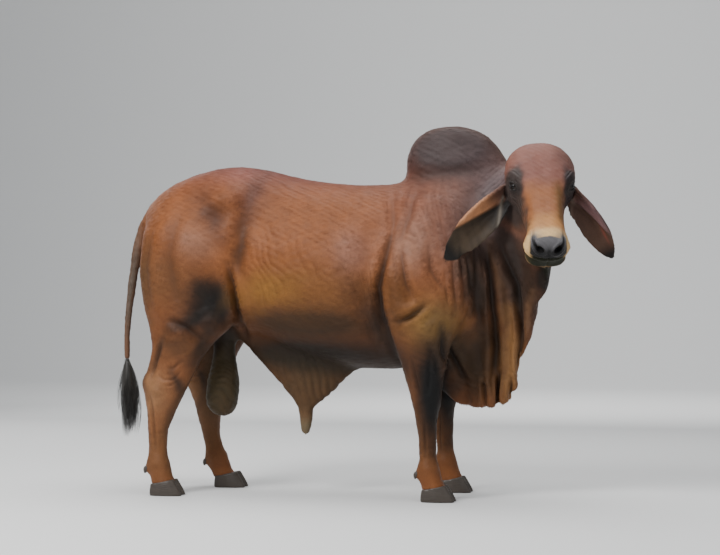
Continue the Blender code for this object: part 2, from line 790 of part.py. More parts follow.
def foot_middle(table_foot, step):
    """Where a foot stands along X."""
    return table_foot + step_at(step, 0)


FEET = (
    ("fore_right", -1, FORE_FOOT, 0.0, FORELEG[-1][3]),
    ("fore_left", 1, FORE_FOOT, LEFT_FORE_STEP, FORELEG[-1][3]),
    ("hind_right", -1, HIND_FOOT, 0.0, HINDLEG[-1][3]),
    ("hind_left", 1, HIND_FOOT, LEFT_HIND_STEP, HINDLEG[-1][3]),
)


def part_flesh(flesh, head):
    """Part the flesh into its named pieces; returns them."""
    for _, side, foot, step, _ in FEET:
        middle = foot_middle(foot, step)
        near = slab(x=(middle - 0.15, middle + 0.15), y=sided(side, 0.10), z=(-1, None))
        combine(flesh, wedge(near + [coronet_plane(middle, -1)], GAP / 2), "DIFFERENCE")
    rump = part_off(flesh, "rump", [ahead_of(RUMP_CUT, -1)])
    chest = part_off(flesh, "chest", [ahead_of(CHEST_CUT)])
    flesh.name = "barrel"
    pieces = [flesh, rump, chest]
    pieces.append(part_off(flesh, "sheath", [under(SHEATH_CUT)] + slab(y=(-0.15, 0.15))))
    pieces.append(part_off(rump, "scrotum", slab(x=(-0.72, -0.44), y=(-0.086, 0.086), z=(0, 0.735))))
    for side, label in ((-1, "right"), (1, "left")):
        lower = slab(y=sided(side, 0.098), z=(-1, HOCK_CUT))
        pieces.append(part_off(rump, "hindleg_lower_" + label, lower))
        thigh = slab(y=sided(side, GAP / 2)) + [under(THIGH_CUT)]
        pieces.append(part_off(rump, "thigh_" + label, thigh))
        lower = slab(y=sided(side, 0.098), z=(-1, KNEE_CUT))
        pieces.append(part_off(chest, "foreleg_lower_" + label, lower))
        upper = slab(y=sided(side, 0.112)) + [under(ELBOW_CUT)]
        pieces.append(part_off(chest, "foreleg_upper_" + label, upper))
    combine(chest, wedge(head_planes(), GAP), "DIFFERENCE")
    keep_largest(chest)
    combine(head, wedge(head_planes()), "INTERSECT")
    keep_largest(head)
    pieces.append(part_off(chest, "dewlap", [under(DEWLAP_CUT)] + slab(x=(0.36, None))))
    pieces.append(part_off(chest, "hump", [under(HUMP_CUT, 1)] + slab(x=(0.18, None))))
    pieces.append(part_off(chest, "neck", [ahead_of(NECK_CUT)]))
    return pieces


def tail_root_planes(rings):
    """Planes that keep the flesh's stub of tail past the tail's root."""
    middle = rings[TAIL_ROOT].mean(0)
    onward = rings[TAIL_ROOT + 1].mean(0) - rings[TAIL_ROOT - 1].mean(0)
    return [(middle, onward)] + slab(x=(None, -0.91), z=(1.0, None))


def tube_rings(table, count, sides=10):
    """Round rings square to a path."""
    rows = spread(table, count)
    heading = np.gradient(rows[:, :3], axis=0)
    turn = np.linspace(0, 2 * math.pi, sides, endpoint=False)
    rings = []
    for row, forward in zip(rows, heading):
        forward = forward / np.linalg.norm(forward)
        side = np.cross(forward, (0, 1, 0))
        side /= np.linalg.norm(side)
        aside = np.cross(forward, side)
        rings.append(row[:3] + row[3] * (np.outer(np.cos(turn), side) + np.outer(np.sin(turn), aside)))
    return np.array(rings)


def moved_back(rings, first, last):
    """A stretch of tube with both ends drawn in by half a gap."""
    stretch = rings[first : last + 1].copy()
    for end, inner in ((0, 1), (-1, -2)):
        way = stretch[inner].mean(0) - stretch[end].mean(0)
        stretch[end] += way / np.linalg.norm(way) * GAP / 2
    return stretch


def make_tail():
    """The tail in two lengths, with its ends square to its path."""
    rings = tube_rings(TAIL, TAIL_RINGS)
    upper = object_from("tail_upper", *loft(moved_back(rings, TAIL_ROOT, TAIL_SPLIT)))
    lower = object_from("tail_lower", *loft(moved_back(rings, TAIL_SPLIT, TAIL_RINGS - 1)))
    return [upper, lower]


def lock_rings(start, lean, length, width, turn, bend):
    """Rings of a flat, tapered lock of hair that hangs and bends."""
    rings = []
    for share in np.linspace(0, 1, 6):
        swing = math.sin(share * math.pi * 0.72)
        middle = np.array(start) + np.array(lean) * swing
        middle[2] -= length * share
        middle[0] += bend * math.sin(share * 5)
        half = width * (0.45 + 1.1 * share - 1.35 * share**2.4) + 0.0012
        flat = np.array((-math.sin(turn + share), math.cos(turn + share), 0))
        thin = np.array((math.cos(turn + share), math.sin(turn + share), 0))
        half_thick = LOCK_THICKNESS * (1 - 0.8 * share)
        rings.append([middle + flat * half, middle + thin * half_thick, middle - flat * half, middle - thin * half_thick])
    return rings


def make_switch():
    """The tuft at the tail's end: locks round a short core."""
    x, y, _, radius = TAIL[-1]
    top = SWITCH_TOP - GAP / 2
    core = [(x, y, top - share * SWITCH_CORE, radius * (1 - 0.55 * share)) for share in np.linspace(0, 1, 5)]
    made = object_from("tail_switch", *loft(tube_rings(core, 7)))
    draw = np.random.default_rng(7)
    locks = bpy.data.collections.new("locks")
    for i in range(SWITCH_LOCKS):
        turn = 2.4 * i
        depth = 0.012 + 0.125 * i / SWITCH_LOCKS
        out = np.array((math.cos(turn), math.sin(turn) * 0.75, 0))
        start = np.array((x, y, top - depth)) + out * radius * 0.35
        spread_out = (0.056 - 0.032 * i / SWITCH_LOCKS) * draw.uniform(0.75, 1.15)
        length = (top - depth - SWITCH_TIP) * draw.uniform(0.70, 1.0)
        lean = out * spread_out + np.array((SWITCH_LEAN, 0, 0))
        rings = lock_rings(start, lean, length, LOCK_WIDTH, turn, draw.uniform(-0.004, 0.004))
        lock = object_from(f"lock {i}", *loft(rings), locks)
        lock.data.update()
    union = made.modifiers.new("union", "BOOLEAN")
    union.operand_type = "COLLECTION"
    union.collection = locks
    union.operation = "UNION"
    settle(made)
    for lock in list(locks.objects):
        bpy.data.objects.remove(lock)
    bpy.data.collections.remove(locks)
    return keep_largest(made)


def make_claws():
    """Two claws under each foot."""
    claws = []
    for label, side, foot, step, aside in FEET:
        middle = foot_middle(foot, step)
        for which, way in (("inner", -side), ("outer", side)):
            rings = []
            for z, back, front, inner, outer in spread(CLAW, 6):
                across, up = oval(2.4, 3.2, 12)
                taper = 1 - 0.30 * np.clip(up, 0, 1) ** 2
                flank = np.where(across < 0, (outer - inner) / 2, (outer - inner) / 2 * taper)
                offset = (outer + inner) / 2 + flank * across
                x = middle + (front + back) / 2 + (front - back) / 2 * up
                rings.append(np.stack([x, side * aside + way * offset, np.full(len(up), z)], 1))
            claw = object_from(f"claw_{label}_{which}", *loft(rings))
            combine(claw, wedge([coronet_plane(middle, -1)] + slab(z=(-1, None)), -GAP / 2), "INTERSECT")
            claws.append(keep_largest(claw))
    return claws


def ear_rings(root, tip, looks, bow):
    """Rings of a rolled ear shell, outer face and then inner face."""
    root, tip, bow = (np.array(v, float) for v in (root, tip, bow))
    axis = (tip - root) / np.linalg.norm(tip - root)
    facing = np.array(looks, float)
    facing -= facing.dot(axis) * axis
    facing /= np.linalg.norm(facing)
    across = np.cross(facing, axis)
    rings = []
    for share, half, roll, thick in spread(EAR, 15):
        middle = root + (tip - root) * share + bow * 4 * share * (1 - share)
        t = np.linspace(-1, 1, 8)
        radius = half / roll
        turn = roll * t
        shell = np.outer(radius * np.sin(turn), across) + np.outer(radius * (1 - np.cos(turn)), facing)
        way_in = -np.outer(np.sin(turn), across) + np.outer(np.cos(turn), facing)
        edge = thick * (1 - 0.45 * t**4)[:, None]
        rings.append(middle + np.concatenate([shell, (shell + way_in * edge)[::-1]]))
    return rings


def make_ears(head):
    """Both ears, each cut clear of the head it grows from."""
    ears = []
    for label, (root, tip, looks, bow) in EARS.items():
        ear = object_from("ear_" + label, *loft(ear_rings(root, tip, looks, bow)))
        skin = copy_of(head, "grown head")
        put_places(skin.data, places_of(skin.data) + normals_of(skin.data) * GAP)
        ears.append(keep_largest(combine(ear, skin, "DIFFERENCE")))
    return ears


def make_eyes(head):
    """Both eyeballs, and the sockets and lid openings that they sit in."""
    turned = head_matrix().to_3x3()
    eyes = []
    for side, label in ((-1, "right"), (1, "left")):
        flip = Vector((1, side, 1))
        middle = head_matrix() @ (EYE * flip)
        looks = EYE_LOOKS * flip
        axes = np.array(turned)
        eyes.append(object_from("eye_" + label, *ball(middle, [EYE_RADIUS] * 3, axes, 16)))
        socket = object_from("socket", *ball(middle, [EYE_RADIUS + 2.4 * GAP] * 3, axes, 16))
        combine(head, socket, "DIFFERENCE")
        along = Vector((0.94, 0, -0.34))
        along = (along - looks * along.dot(looks)).normalized()
        rise = looks.cross(along)
        half_long, half_high, reach = EYE_SLIT
        rings = []
        for depth in (0.006, reach):
            turn = np.linspace(0, 2 * math.pi, 18, endpoint=False)
            widen = 1 + 3 * (depth - EYE_RADIUS) * (depth > EYE_RADIUS)
            local = [
                EYE * flip + looks * depth + along * half_long * widen * math.cos(t)
                + rise * half_high * widen * math.sin(t) * (1 - 0.35 * math.cos(t) ** 2)
                for t in turn
            ]
            rings.append(in_head([tuple(p) for p in local]))
        combine(head, object_from("slit", *loft(rings)), "DIFFERENCE")
    keep_largest(head)
    return eyes


FINISHES = {
    "head": (RED_BROWN, 0.75),
    "ear": (DARK_BROWN, 0.80),
    "eye": (EYE_BROWN, 0.08),
    "neck": (GREY_BROWN, 0.78),
    "hump": (GREY_BROWN, 0.78),
    "dewlap": (DARK_BROWN, 0.80),
    "sheath": (DARK_BROWN, 0.80),
    "scrotum": (DARK_BROWN, 0.70),
    "tail_switch": (BLACK_HAIR, 0.65),
    "claw": (HORN, 0.45),
}


def dress(made):
    """Give an object a material of its own and smooth shading."""
    colour, roughness = RED_BROWN, 0.75
    for start, finish in FINISHES.items():
        if made.name.startswith(start):
            colour, roughness = finish
    material = bpy.data.materials.new(made.name)
    material.use_nodes = True
    shader = material.node_tree.nodes["Principled BSDF"]
    shader.inputs["Base Color"].default_value = (*colour, 1)
    shader.inputs["Roughness"].default_value = roughness
    shader.inputs["Metallic"].default_value = 0.0
    made.data.materials.clear()
    made.data.materials.append(material)
    made.data.shade_smooth()
    made.data.set_sharp_from_angle(angle=math.radians(50))


def stand_on_floor(nodes):
    """Move everything so that the middle of its box's underside is the origin."""
    every = np.concatenate([places_of(node.data) for node in nodes])
    low, high = every.min(0), every.max(0)
    shift = Vector((-(low[0] + high[0]) / 2, -(low[1] + high[1]) / 2, -low[2]))
    for node in nodes:
        node.data.transform(Matrix.Translation(shift))


def main():
    """Build every node and stand the animal on the floor."""
    for old in list(bpy.data.objects):
        bpy.data.objects.remove(old)
    flesh = make_flesh()
    # The fine mesh is too large for the exact solver to cut in good time.
    rough = wedge(head_planes(), HEAD_MARGIN)
    head = combine(copy_of(flesh, "head"), rough, "INTERSECT", "MANIFOLD")
    finer = head.modifiers.new("finer", "SUBSURF")
    finer.subdivision_type = "SIMPLE"
    finer.levels = 1
    finer.render_levels = 1
    settle(head)
    carve_head(head.data)
    thinned(head, HEAD_TRIANGLES)
    thinned(flesh, BODY_TRIANGLES)
    combine(flesh, wedge(tail_root_planes(tube_rings(TAIL, TAIL_RINGS)), GAP / 2), "DIFFERENCE")
    pieces = part_flesh(flesh, head)
    eyes = make_eyes(head)
    nodes = pieces + [head] + eyes + make_ears(head) + make_tail() + [make_switch()] + make_claws()
    animal = bpy.data.collections.new("brahman bull")
    bpy.context.scene.collection.children.link(animal)
    for node in nodes:
        for home in list(node.users_collection):
            home.objects.unlink(node)
        animal.objects.link(node)
        dress(node)
    stand_on_floor(nodes)


if __name__ == "__main__":
    main()
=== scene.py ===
import logging
import math
from dataclasses import dataclass, field
from enum import Enum

import bmesh
import bpy
import numpy as np
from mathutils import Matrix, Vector
from mathutils.bvhtree import BVHTree


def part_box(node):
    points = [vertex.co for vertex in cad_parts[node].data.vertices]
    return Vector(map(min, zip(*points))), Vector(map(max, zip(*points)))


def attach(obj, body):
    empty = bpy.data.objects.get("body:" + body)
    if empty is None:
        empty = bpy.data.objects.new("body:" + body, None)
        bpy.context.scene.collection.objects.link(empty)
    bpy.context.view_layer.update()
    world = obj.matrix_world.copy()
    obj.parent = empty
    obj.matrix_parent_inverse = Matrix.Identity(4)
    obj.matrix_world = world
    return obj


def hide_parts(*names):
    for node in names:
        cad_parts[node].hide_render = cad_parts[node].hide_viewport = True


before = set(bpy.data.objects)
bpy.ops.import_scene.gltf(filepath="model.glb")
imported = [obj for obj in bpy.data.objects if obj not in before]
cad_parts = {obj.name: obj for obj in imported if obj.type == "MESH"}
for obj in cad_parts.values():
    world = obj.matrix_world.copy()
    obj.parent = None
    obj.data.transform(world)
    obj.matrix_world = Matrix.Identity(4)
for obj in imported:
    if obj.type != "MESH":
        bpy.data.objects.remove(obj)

log = logging.getLogger("brahman bull")

IMAGE_WIDTH = 720
IMAGE_HEIGHT = 555
UNWRAP = "OFBake"
CHEST = (0.0, 0.0, 0.9)
TURN = 2 * math.pi

Colour = tuple[float, float, float]
Place = tuple[float, float, float]
Line = tuple[tuple[float, ...], ...]
Rows = np.ndarray
Piece = bpy.types.Object
Mesh = bpy.types.Mesh
Work = bmesh.types.BMesh
Socket = bpy.types.NodeSocket
Inputs = dict[str | int, object]
Kinds = dict[str, str]
Sockets = dict[str, Socket]


class Side(Enum):
    """The animal's two sides, as the sign of Y."""

    RIGHT = -1
    LEFT = 1


class Lie(Enum):
    """The regions of the coat, each with hair of its own size."""

    FACE = "face"
    NECK = "neck"
    FORE = "fore"
    BARREL = "barrel"
    HIND = "hind"
    LEGS = "legs"
    UNDER = "under"


def linear(red: float, green: float, blue: float) -> Colour:
    """A display colour of 0 to 255 as linear light of 0 to 1."""
    shares = (red / 255, green / 255, blue / 255)
    return tuple(((c + 0.055) / 1.055) ** 2.4 if c > 10 / 255 else c / 12.92 for c in shares)


def unit(vectors: Rows) -> Rows:
    """Vectors at length one."""
    return vectors / np.maximum(np.linalg.norm(vectors, axis=-1, keepdims=True), 1e-9)


def ramp(values: Rows, low: float, high: float) -> Rows:
    """A smooth step from 0 at one value to 1 at another, which may be the smaller."""
    share = np.clip((values - low) / (high - low), 0, 1)
    return share * share * (3 - 2 * share)


def bell(values: Rows, width: float) -> Rows:
    """1 where the values are 0, falling to nothing within a few widths."""
    return np.exp(-((values / width) ** 2))


def nearness(places: Rows, middle: Place, sizes: Place) -> Rows:
    """1 at a middle, falling smoothly to nothing a few sizes away along each axis."""
    away = (places - np.asarray(middle)) / np.asarray(sizes)
    return np.exp(-(away**2).sum(1))


def mirrored(places: Rows) -> Rows:
    """Places with those of the right side moved to the left."""
    return places * (1, 0, 1) + np.abs(places) * (0, 1, 0)


def lay(colour: Rows, share: Rows, tint: Colour | Rows) -> None:
    """Lay a tint over rows of colour, in place, as strongly as the share says."""
    colour += share[:, None] * (np.asarray(tint) - colour)


def cloudiness(places: Rows, size: float, seed: int) -> Rows:
    """Smooth uneven values between about -1 and 1.

    Args:
        places: Rows of points.
        size: The size of the unevenness in metres.
        seed: Which pattern.

    Returns:
        One value for each point.
    """
    draw = np.random.default_rng(seed)
    total = np.zeros(len(places))
    for _ in range(9):
        way = unit(draw.normal(size=3)) * draw.uniform(0.6, 1.5) * TURN / size
        total += np.sin(places @ way + draw.uniform(0, TURN))
    return total / 3.6


def from_line(spots: Rows, line: Line, reach: float) -> tuple[Rows, Rows, Rows]:
    """How far places lie from a bent line.

    Args:
        spots: Rows of points, with as many columns as the line's points.
        line: The line's points.
        reach: How far from the line anything is measured.

    Returns:
        Which places are near, their distances, and their shares along the line.
    """
    points = np.array(line)
    near = np.flatnonzero(((spots > points.min(0) - reach) & (spots < points.max(0) + reach)).all(1))
    spot = spots[near]
    away = np.full(len(spot), 9.0)
    share = np.zeros(len(spot))
    steps = np.linalg.norm(np.diff(points, axis=0), axis=1)
    done = 0.0
    for start, end, size in zip(points[:-1], points[1:], steps):
        part = np.clip((spot - start) @ (end - start) / size**2, 0, 1)
        gap = np.linalg.norm(spot - start - part[:, None] * (end - start), axis=1)
        share = np.where(gap < away, (done + part * size) / steps.sum(), share)
        away = np.minimum(away, gap)
        done += size
    return near, away, share


@dataclass(frozen=True)
class HeadAxes:
    """The head's own axes: along the face, to its left and out of the face."""

    poll: Place = (0.912, -0.222, 1.548)
    turn: float = math.radians(13.5)
    slope: float = math.radians(50)

    def columns(self) -> Rows:
        """The three axes as the columns of a matrix."""
        facing = np.array((math.sin(self.turn), -math.cos(self.turn), 0))
        up = np.array((0, 0, 1.0))
        along = facing * math.cos(self.slope) - up * math.sin(self.slope)
        out = facing * math.sin(self.slope) + up * math.cos(self.slope)
        return np.stack([along, np.cross(out, along), out], 1)

    def inside(self, places: Rows) -> Rows:
        """Places of the animal in the head's axes."""
        return (places - np.asarray(self.poll)) @ self.columns()

    def outside(self, places: Rows) -> Rows:
        """Places in the head's axes as places of the animal."""
        return np.asarray(places, float) @ self.columns().T + np.asarray(self.poll)


@dataclass(frozen=True)
class EyePlace:
    """Where an eye sits in the head's axes, and how its lids open."""

    middle: Place = (0.19, 0.114, -0.046)
    looks: Place = (0.38, 0.74, 0.46)
    along: Place = (0.8, -0.55, 0.23)
    radius: float = 0.022
    half_long: float = 0.0205
    half_high: float = 0.0118

    def axes(self, side: Side) -> tuple[Rows, Rows]:
        """How an eye lies in the head's axes.

        Args:
            side: Which eye.

        Returns:
            Its middle, and a matrix of its axes along the slit, up and outwards.
        """
        flip = np.array((1, side.value, 1))
        looks = unit(np.array(self.looks) * flip)
        along = np.array(self.along) * flip
        along = unit(along - looks * along.dot(looks))
        rise = unit(np.cross(looks, along)) * side.value
        rise = rise if rise[2] > 0 else -rise
        return np.array(self.middle) * flip, np.stack([along, rise, looks], 1)

    def around(self, head: Rows, side: Side) -> tuple[Rows, Rows]:
        """How places of the head lie about one eye.

        Args:
            head: Places in the head's axes.
            side: Which eye.

        Returns:
            How far outside the slit each is, 1 at its edge, and its distance from the eye's middle.
        """
        middle, axes = self.axes(side)
        local = (head - middle) @ axes
        opening = np.hypot(local[:, 0] / self.half_long, local[:, 1] / self.half_high)
        return opening, np.linalg.norm(local, axis=1)

    def outside(self, local: Rows, side: Side) -> Rows:
        """Places in one eye's axes as places of the animal."""
        middle, axes = self.axes(side)
        return HEAD.outside(middle + local @ axes.T)


@dataclass(frozen=True)
class EarPlace:
    """Where an ear lies: root, tip and the way its hollow looks."""

    root: Place
    tip: Place
    looks: Place
    upper: int = 1
    streak: bool = False
    half_width: float = 0.085

    def axis(self) -> Rows:
        """The way from root to tip."""
        return unit(np.array(self.tip) - np.array(self.root))

    def facing(self) -> Rows:
        """The way that the hollow looks, square to the ear's length."""
        looks = np.array(self.looks)
        return unit(looks - self.axis() * looks.dot(self.axis()))

    def fold(self, along: Rows) -> Rows:
        """Where across the ear its rolled margin ends, for shares along it."""
        return -0.58 + 1.75 * along

    def strip(self, along: Rows, upper: Rows) -> Rows:
        """Metres from the raised fold, painted pale as a highlight, that crosses the hollow near the root,
        less than 0 towards the head.
        """
        return (0.4416 * along - 0.088) * 0.52 + (0.085 * upper + 0.013) * 0.855

    def measure(self, places: Rows) -> tuple[Rows, Rows]:
        """Shares along the ear and across it.

        Args:
            places: Places of the animal.

        Returns:
            0 at the root to 1 at the tip, and about -1 to 1 across.
        """
        axis, away = self.axis(), places - np.array(self.root)
        length = np.linalg.norm(np.array(self.tip) - np.array(self.root))
        return away @ axis / length, away @ np.cross(self.facing(), axis) / self.half_width


HEAD = HeadAxes()
EYE = EyePlace()
EARS = {
    Side.RIGHT: EarPlace((0.792, -0.222, 1.392), (0.512, -0.33, 1.068), (-0.25, -0.78, -0.6), -1),
    Side.LEFT: EarPlace((1.024, -0.168, 1.408), (1.222, -0.105, 1.062), (-0.5, -0.84, -0.22), 1, True),
}
EarShares = dict[Side, Rows]


def animal_origin() -> Rows:
    """How far the animal's own measures are moved to stand where the solids do."""
    low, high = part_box("eye_right")
    return (np.array(low) + np.array(high)) / 2 - HEAD.outside(EYE.axes(Side.RIGHT)[0][None])[0]


ORIGIN = animal_origin()


@dataclass(frozen=True)
class Patch:
    """A soft patch of display colour on both sides of the hide, or of the head."""

    place: Place
    sizes: Place
    colour: Colour
    strength: float
    on_head: bool = False

    def lay(self, colour: Rows, places: Rows, head: Rows) -> None:
        """Lay the patch over rows of colour, at mirrored places of the animal and of the head."""
        near = nearness(head if self.on_head else places, self.place, self.sizes)
        lay(colour, self.strength * np.minimum(1.25 * near, 1), linear(*self.colour))


@dataclass(frozen=True)
class Stroke:
    """A soft stroke of display colour along a line in side view, the same on both sides."""

    line: Line
    width: float
    colour: Colour
    strength: float

    def lay(self, colour: Rows, places: Rows, uneven: Rows) -> None:
        """Lay the stroke over rows of colour.

        Args:
            colour: Rows of colour, changed in place.
            places: Places of the animal.
            uneven: How much the stroke widens at each.
        """
        near, away, share = from_line(places[:, (0, 2)], self.line, 3 * self.width)
        fade = np.sin(math.pi * np.clip(share, 0.12, 0.88)) ** 0.5
        part = colour[near]
        lay(part, self.strength * fade * bell(away / self.width, uneven[near]), linear(*self.colour))
        colour[near] = part


@dataclass(frozen=True)
class Swell:
    """A muscle or bone that lifts the skin, or a hollow where the rise is negative."""

    place: Place
    sizes: Place
    rise: float
    on_head: bool = False


@dataclass(frozen=True)
class Crease:
    """A fold of skin along a line in side view: x and z of each point."""

    line: Line
    width: float
    depth: float
    lip: float = 0.35
    sides: tuple[Side, ...] = (Side.RIGHT, Side.LEFT)

    def lift(self, places: Rows, ways: Rows) -> Rows:
        """How far the fold moves the skin.

        Args:
            places: Places of the animal.
            ways: The way out of the skin at each.

        Returns:
            Metres outwards.
        """
        lift = np.zeros(len(places))
        near, away, share = from_line(places[:, (0, 2)], self.line, 4 * self.width)
        fade = np.sin(math.pi * np.clip(share, 0.02, 0.98)) ** 0.6
        lips = self.lip * bell(away - 2 * self.width, 1.2 * self.width)
        facing = np.max([ramp(ways[near, 1] * side.value, 0.1, 0.45) for side in self.sides], axis=0)
        lift[near] = self.depth * (lips - bell(away, self.width)) * fade * facing
        return lift


@dataclass(frozen=True)
class Furrow:
    """A furrow, or a ridge where the depth is negative, along a line on both sides of the head."""

    line: Line
    width: float
    depth: float
    lip: float = 0.4

    def lift(self, head: Rows) -> Rows:
        """How far it moves the skin.

        Args:
            head: Mirrored places in the head's axes.

        Returns:
            Metres outwards.
        """
        lift = np.zeros(len(head))
        near, away, share = from_line(head, self.line, 5 * self.width)
        fade = np.sin(math.pi * np.clip(share, 0.03, 0.97)) ** 0.5
        lips = bell(away - 2.1 * self.width, 1.1 * self.width)
        lift[near] = self.depth * fade * (self.lip * lips - bell(away, self.width))
        return lift


@dataclass(frozen=True)
class Pleats:
    """Many uneven folds side by side."""

    place: Place
    sizes: Place
    pitch: float
    depth: float
    way: Place
    seed: int
    waver: float = 0.5

    def lift(self, places: Rows) -> Rows:
        """How far the folds move the skin.

        Args:
            places: Places of the animal.

        Returns:
            Metres outwards.
        """
        strength = nearness(mirrored(places), self.place, self.sizes)
        phase = places @ unit(np.array(self.way, float)) / self.pitch * TURN
        phase += self.waver * 3 * cloudiness(places, self.pitch * 5, self.seed)
        sharp = 1 - 2 * np.abs(np.sin(phase / 2)) ** 0.8
        uneven = 0.55 + 0.45 * cloudiness(places, self.pitch * 3.5, self.seed + 1)
        return -self.depth * strength * sharp * np.clip(uneven, 0, 1.4)


def add_object(name: str, data: bpy.types.ID) -> Piece:
    """Add an object to the scene.

    Args:
        name: Its name.
        data: What it shows.

    Returns:
        The object.
    """
    made = bpy.data.objects.new(name, data)
    bpy.context.scene.collection.objects.link(made)
    return made


def smooth_mesh(name: str, work: Work) -> Mesh:
    """A smooth mesh from a working mesh.

    Args:
        name: Its name.
        work: The working mesh, which is freed.

    Returns:
        The mesh.
    """
    mesh = bpy.data.meshes.new(name)
    work.to_mesh(mesh)
    work.free()
    mesh.shade_smooth()
    return mesh


def listed_mesh(name: str, places: Rows, faces: list[tuple[int, ...]]) -> Mesh:
    """A smooth mesh from its places and faces.

    Args:
        name: Its name.
        places: Rows of points, in the frame's metres.
        faces: The numbers of each face's points.

    Returns:
        The mesh.
    """
    mesh = bpy.data.meshes.new(name)
    mesh.from_pydata(places.tolist(), [], faces)
    mesh.update()
    mesh.shade_smooth()
    return mesh


def remeshed(made: Piece, voxel: float) -> Piece:
    """Rebuild an object as even small quads.

    Args:
        made: The object.
        voxel: The size of the quads.

    Returns:
        The same object.
    """
    change = made.modifiers.new("even", "REMESH")
    change.mode = "VOXEL"
    change.voxel_size = voxel
    graph = bpy.context.evaluated_depsgraph_get()
    made.data = bpy.data.meshes.new_from_object(made.evaluated_get(graph))
    made.modifiers.clear()
    return made


def node_copy(names: list[str], grow: float) -> Work:
    """The solids of several nodes in one working mesh, each grown a little.

    Args:
        names: The nodes.
        grow: How far each surface moves out.

    Returns:
        The working mesh, in the frame's metres.
    """
    work = bmesh.new()
    for name in names:
        work.from_mesh(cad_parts[name].data)
    bmesh.ops.remove_doubles(work, verts=work.verts, dist=1e-5)
    bmesh.ops.recalc_face_normals(work, faces=work.faces)
    work.normal_update()
    moves = [vertex.normal * grow for vertex in work.verts]
    for vertex, move in zip(work.verts, moves):
        vertex.co += move
    return work


def read(items: bpy.types.bpy_prop_collection, key: str, width: int, kind: type = np.float32) -> Rows:
    """One property of every item of a mesh.

    Args:
        items: Such as the mesh's edges.
        key: The property's name.
        width: How many values each item has.
        kind: The values' type.

    Returns:
        One row for each item.
    """
    flat = np.empty(len(items) * width, kind)
    items.foreach_get(key, flat)
    return flat.reshape(-1, width)


def put_colours(mesh: Mesh, name: str, values: Rows | Colour) -> None:
    """Store a colour for each vertex.

    Args:
        mesh: The mesh.
        name: The attribute's name.
        values: Rows of three values, or one colour for all.
    """
    layer = mesh.color_attributes.new(name, "FLOAT_COLOR", "POINT")
    rows = np.ones((len(mesh.vertices), 4), np.float32)
    rows[:, :3] = values
    layer.data.foreach_set("color", rows.ravel())


def put_unwrap(mesh: Mesh, spots: Rows) -> None:
    """Store each vertex's spot on the unrolled skin as the mesh's UV map."""
    corners = read(mesh.loops, "vertex_index", 1, np.int32)[:, 0]
    mesh.uv_layers.new(name=UNWRAP).data.foreach_set("uv", spots[corners].astype(np.float32).ravel())


def finish_with(piece: Piece, material: bpy.types.Material) -> None:
    """Give a piece its one finish."""
    piece.data.materials.clear()
    piece.data.materials.append(material)


def working_copy(mesh: Mesh) -> Work:
    """A working copy of a mesh."""
    work = bmesh.new()
    work.from_mesh(mesh)
    work.verts.ensure_lookup_table()
    return work


def tube_rings(path: Rows, half: Rows, side: Rows, rise: Rows, around: int) -> Rows:
    """Rings of points round a path.

    Args:
        path: The path's places.
        half: The half widths along the two ways across it.
        side: The first way across.
        rise: The second way across.
        around: How many points a ring has.

    Returns:
        The points, by place of the path and turn.
    """
    turn = np.arange(around) * TURN / around
    wide, high = half[:, :1] * np.cos(turn), half[:, 1:] * np.sin(turn)
    return path[:, None] + wide[:, :, None] * side[:, None] + high[:, :, None] * rise[:, None]


def band(start: int, after: int, around: int) -> list[tuple[int, ...]]:
    """The quads between two rings, from the numbers of their first points."""
    turns = [(j, (j + 1) % around) for j in range(around)]
    return [(start + j, start + k, after + k, after + j) for j, k in turns]


def turned(across: Rows, up: Rows) -> Rows:
    """The turn of places round an axis, as shares from 0 to 1."""
    return np.arctan2(across, up) / TURN + 0.5


class EarFinder:
    """Tells which places of the skin are on an ear."""

    def __init__(self, flesh: list[str]) -> None:
        """Index the ears and the rest of the flesh, from the names of all its nodes."""
        self.trees = {side: self.index(["ear_" + side.name.lower()]) for side in Side}
        self.rest = self.index([name for name in flesh if not name.startswith("ear")])

    def index(self, names: list[str]) -> BVHTree:
        """A search tree over the surfaces of some nodes."""
        work = node_copy(names, 0.0)
        tree = BVHTree.FromBMesh(work)
        work.free()
        return tree

    def shares(self, places: Rows) -> EarShares:
        """How far each place belongs to each ear.

        Args:
            places: Places of the animal.

        Returns:
            Shares from 0 to 1 for each ear.
        """
        found = {}
        for side, tree in self.trees.items():
            low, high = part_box("ear_" + side.name.lower())
            spots = places + ORIGIN
            near = ((spots > np.array(low) - 0.02) & (spots < np.array(high) + 0.02)).all(1)
            share = np.zeros(len(places))
            for i in np.flatnonzero(near):
                spot = Vector(spots[i])
                share[i] = self.rest.find_nearest(spot)[3] - tree.find_nearest(spot)[3]
            found[side] = np.where(near, ramp(share, -0.001, 0.006), 0.0)
        return found


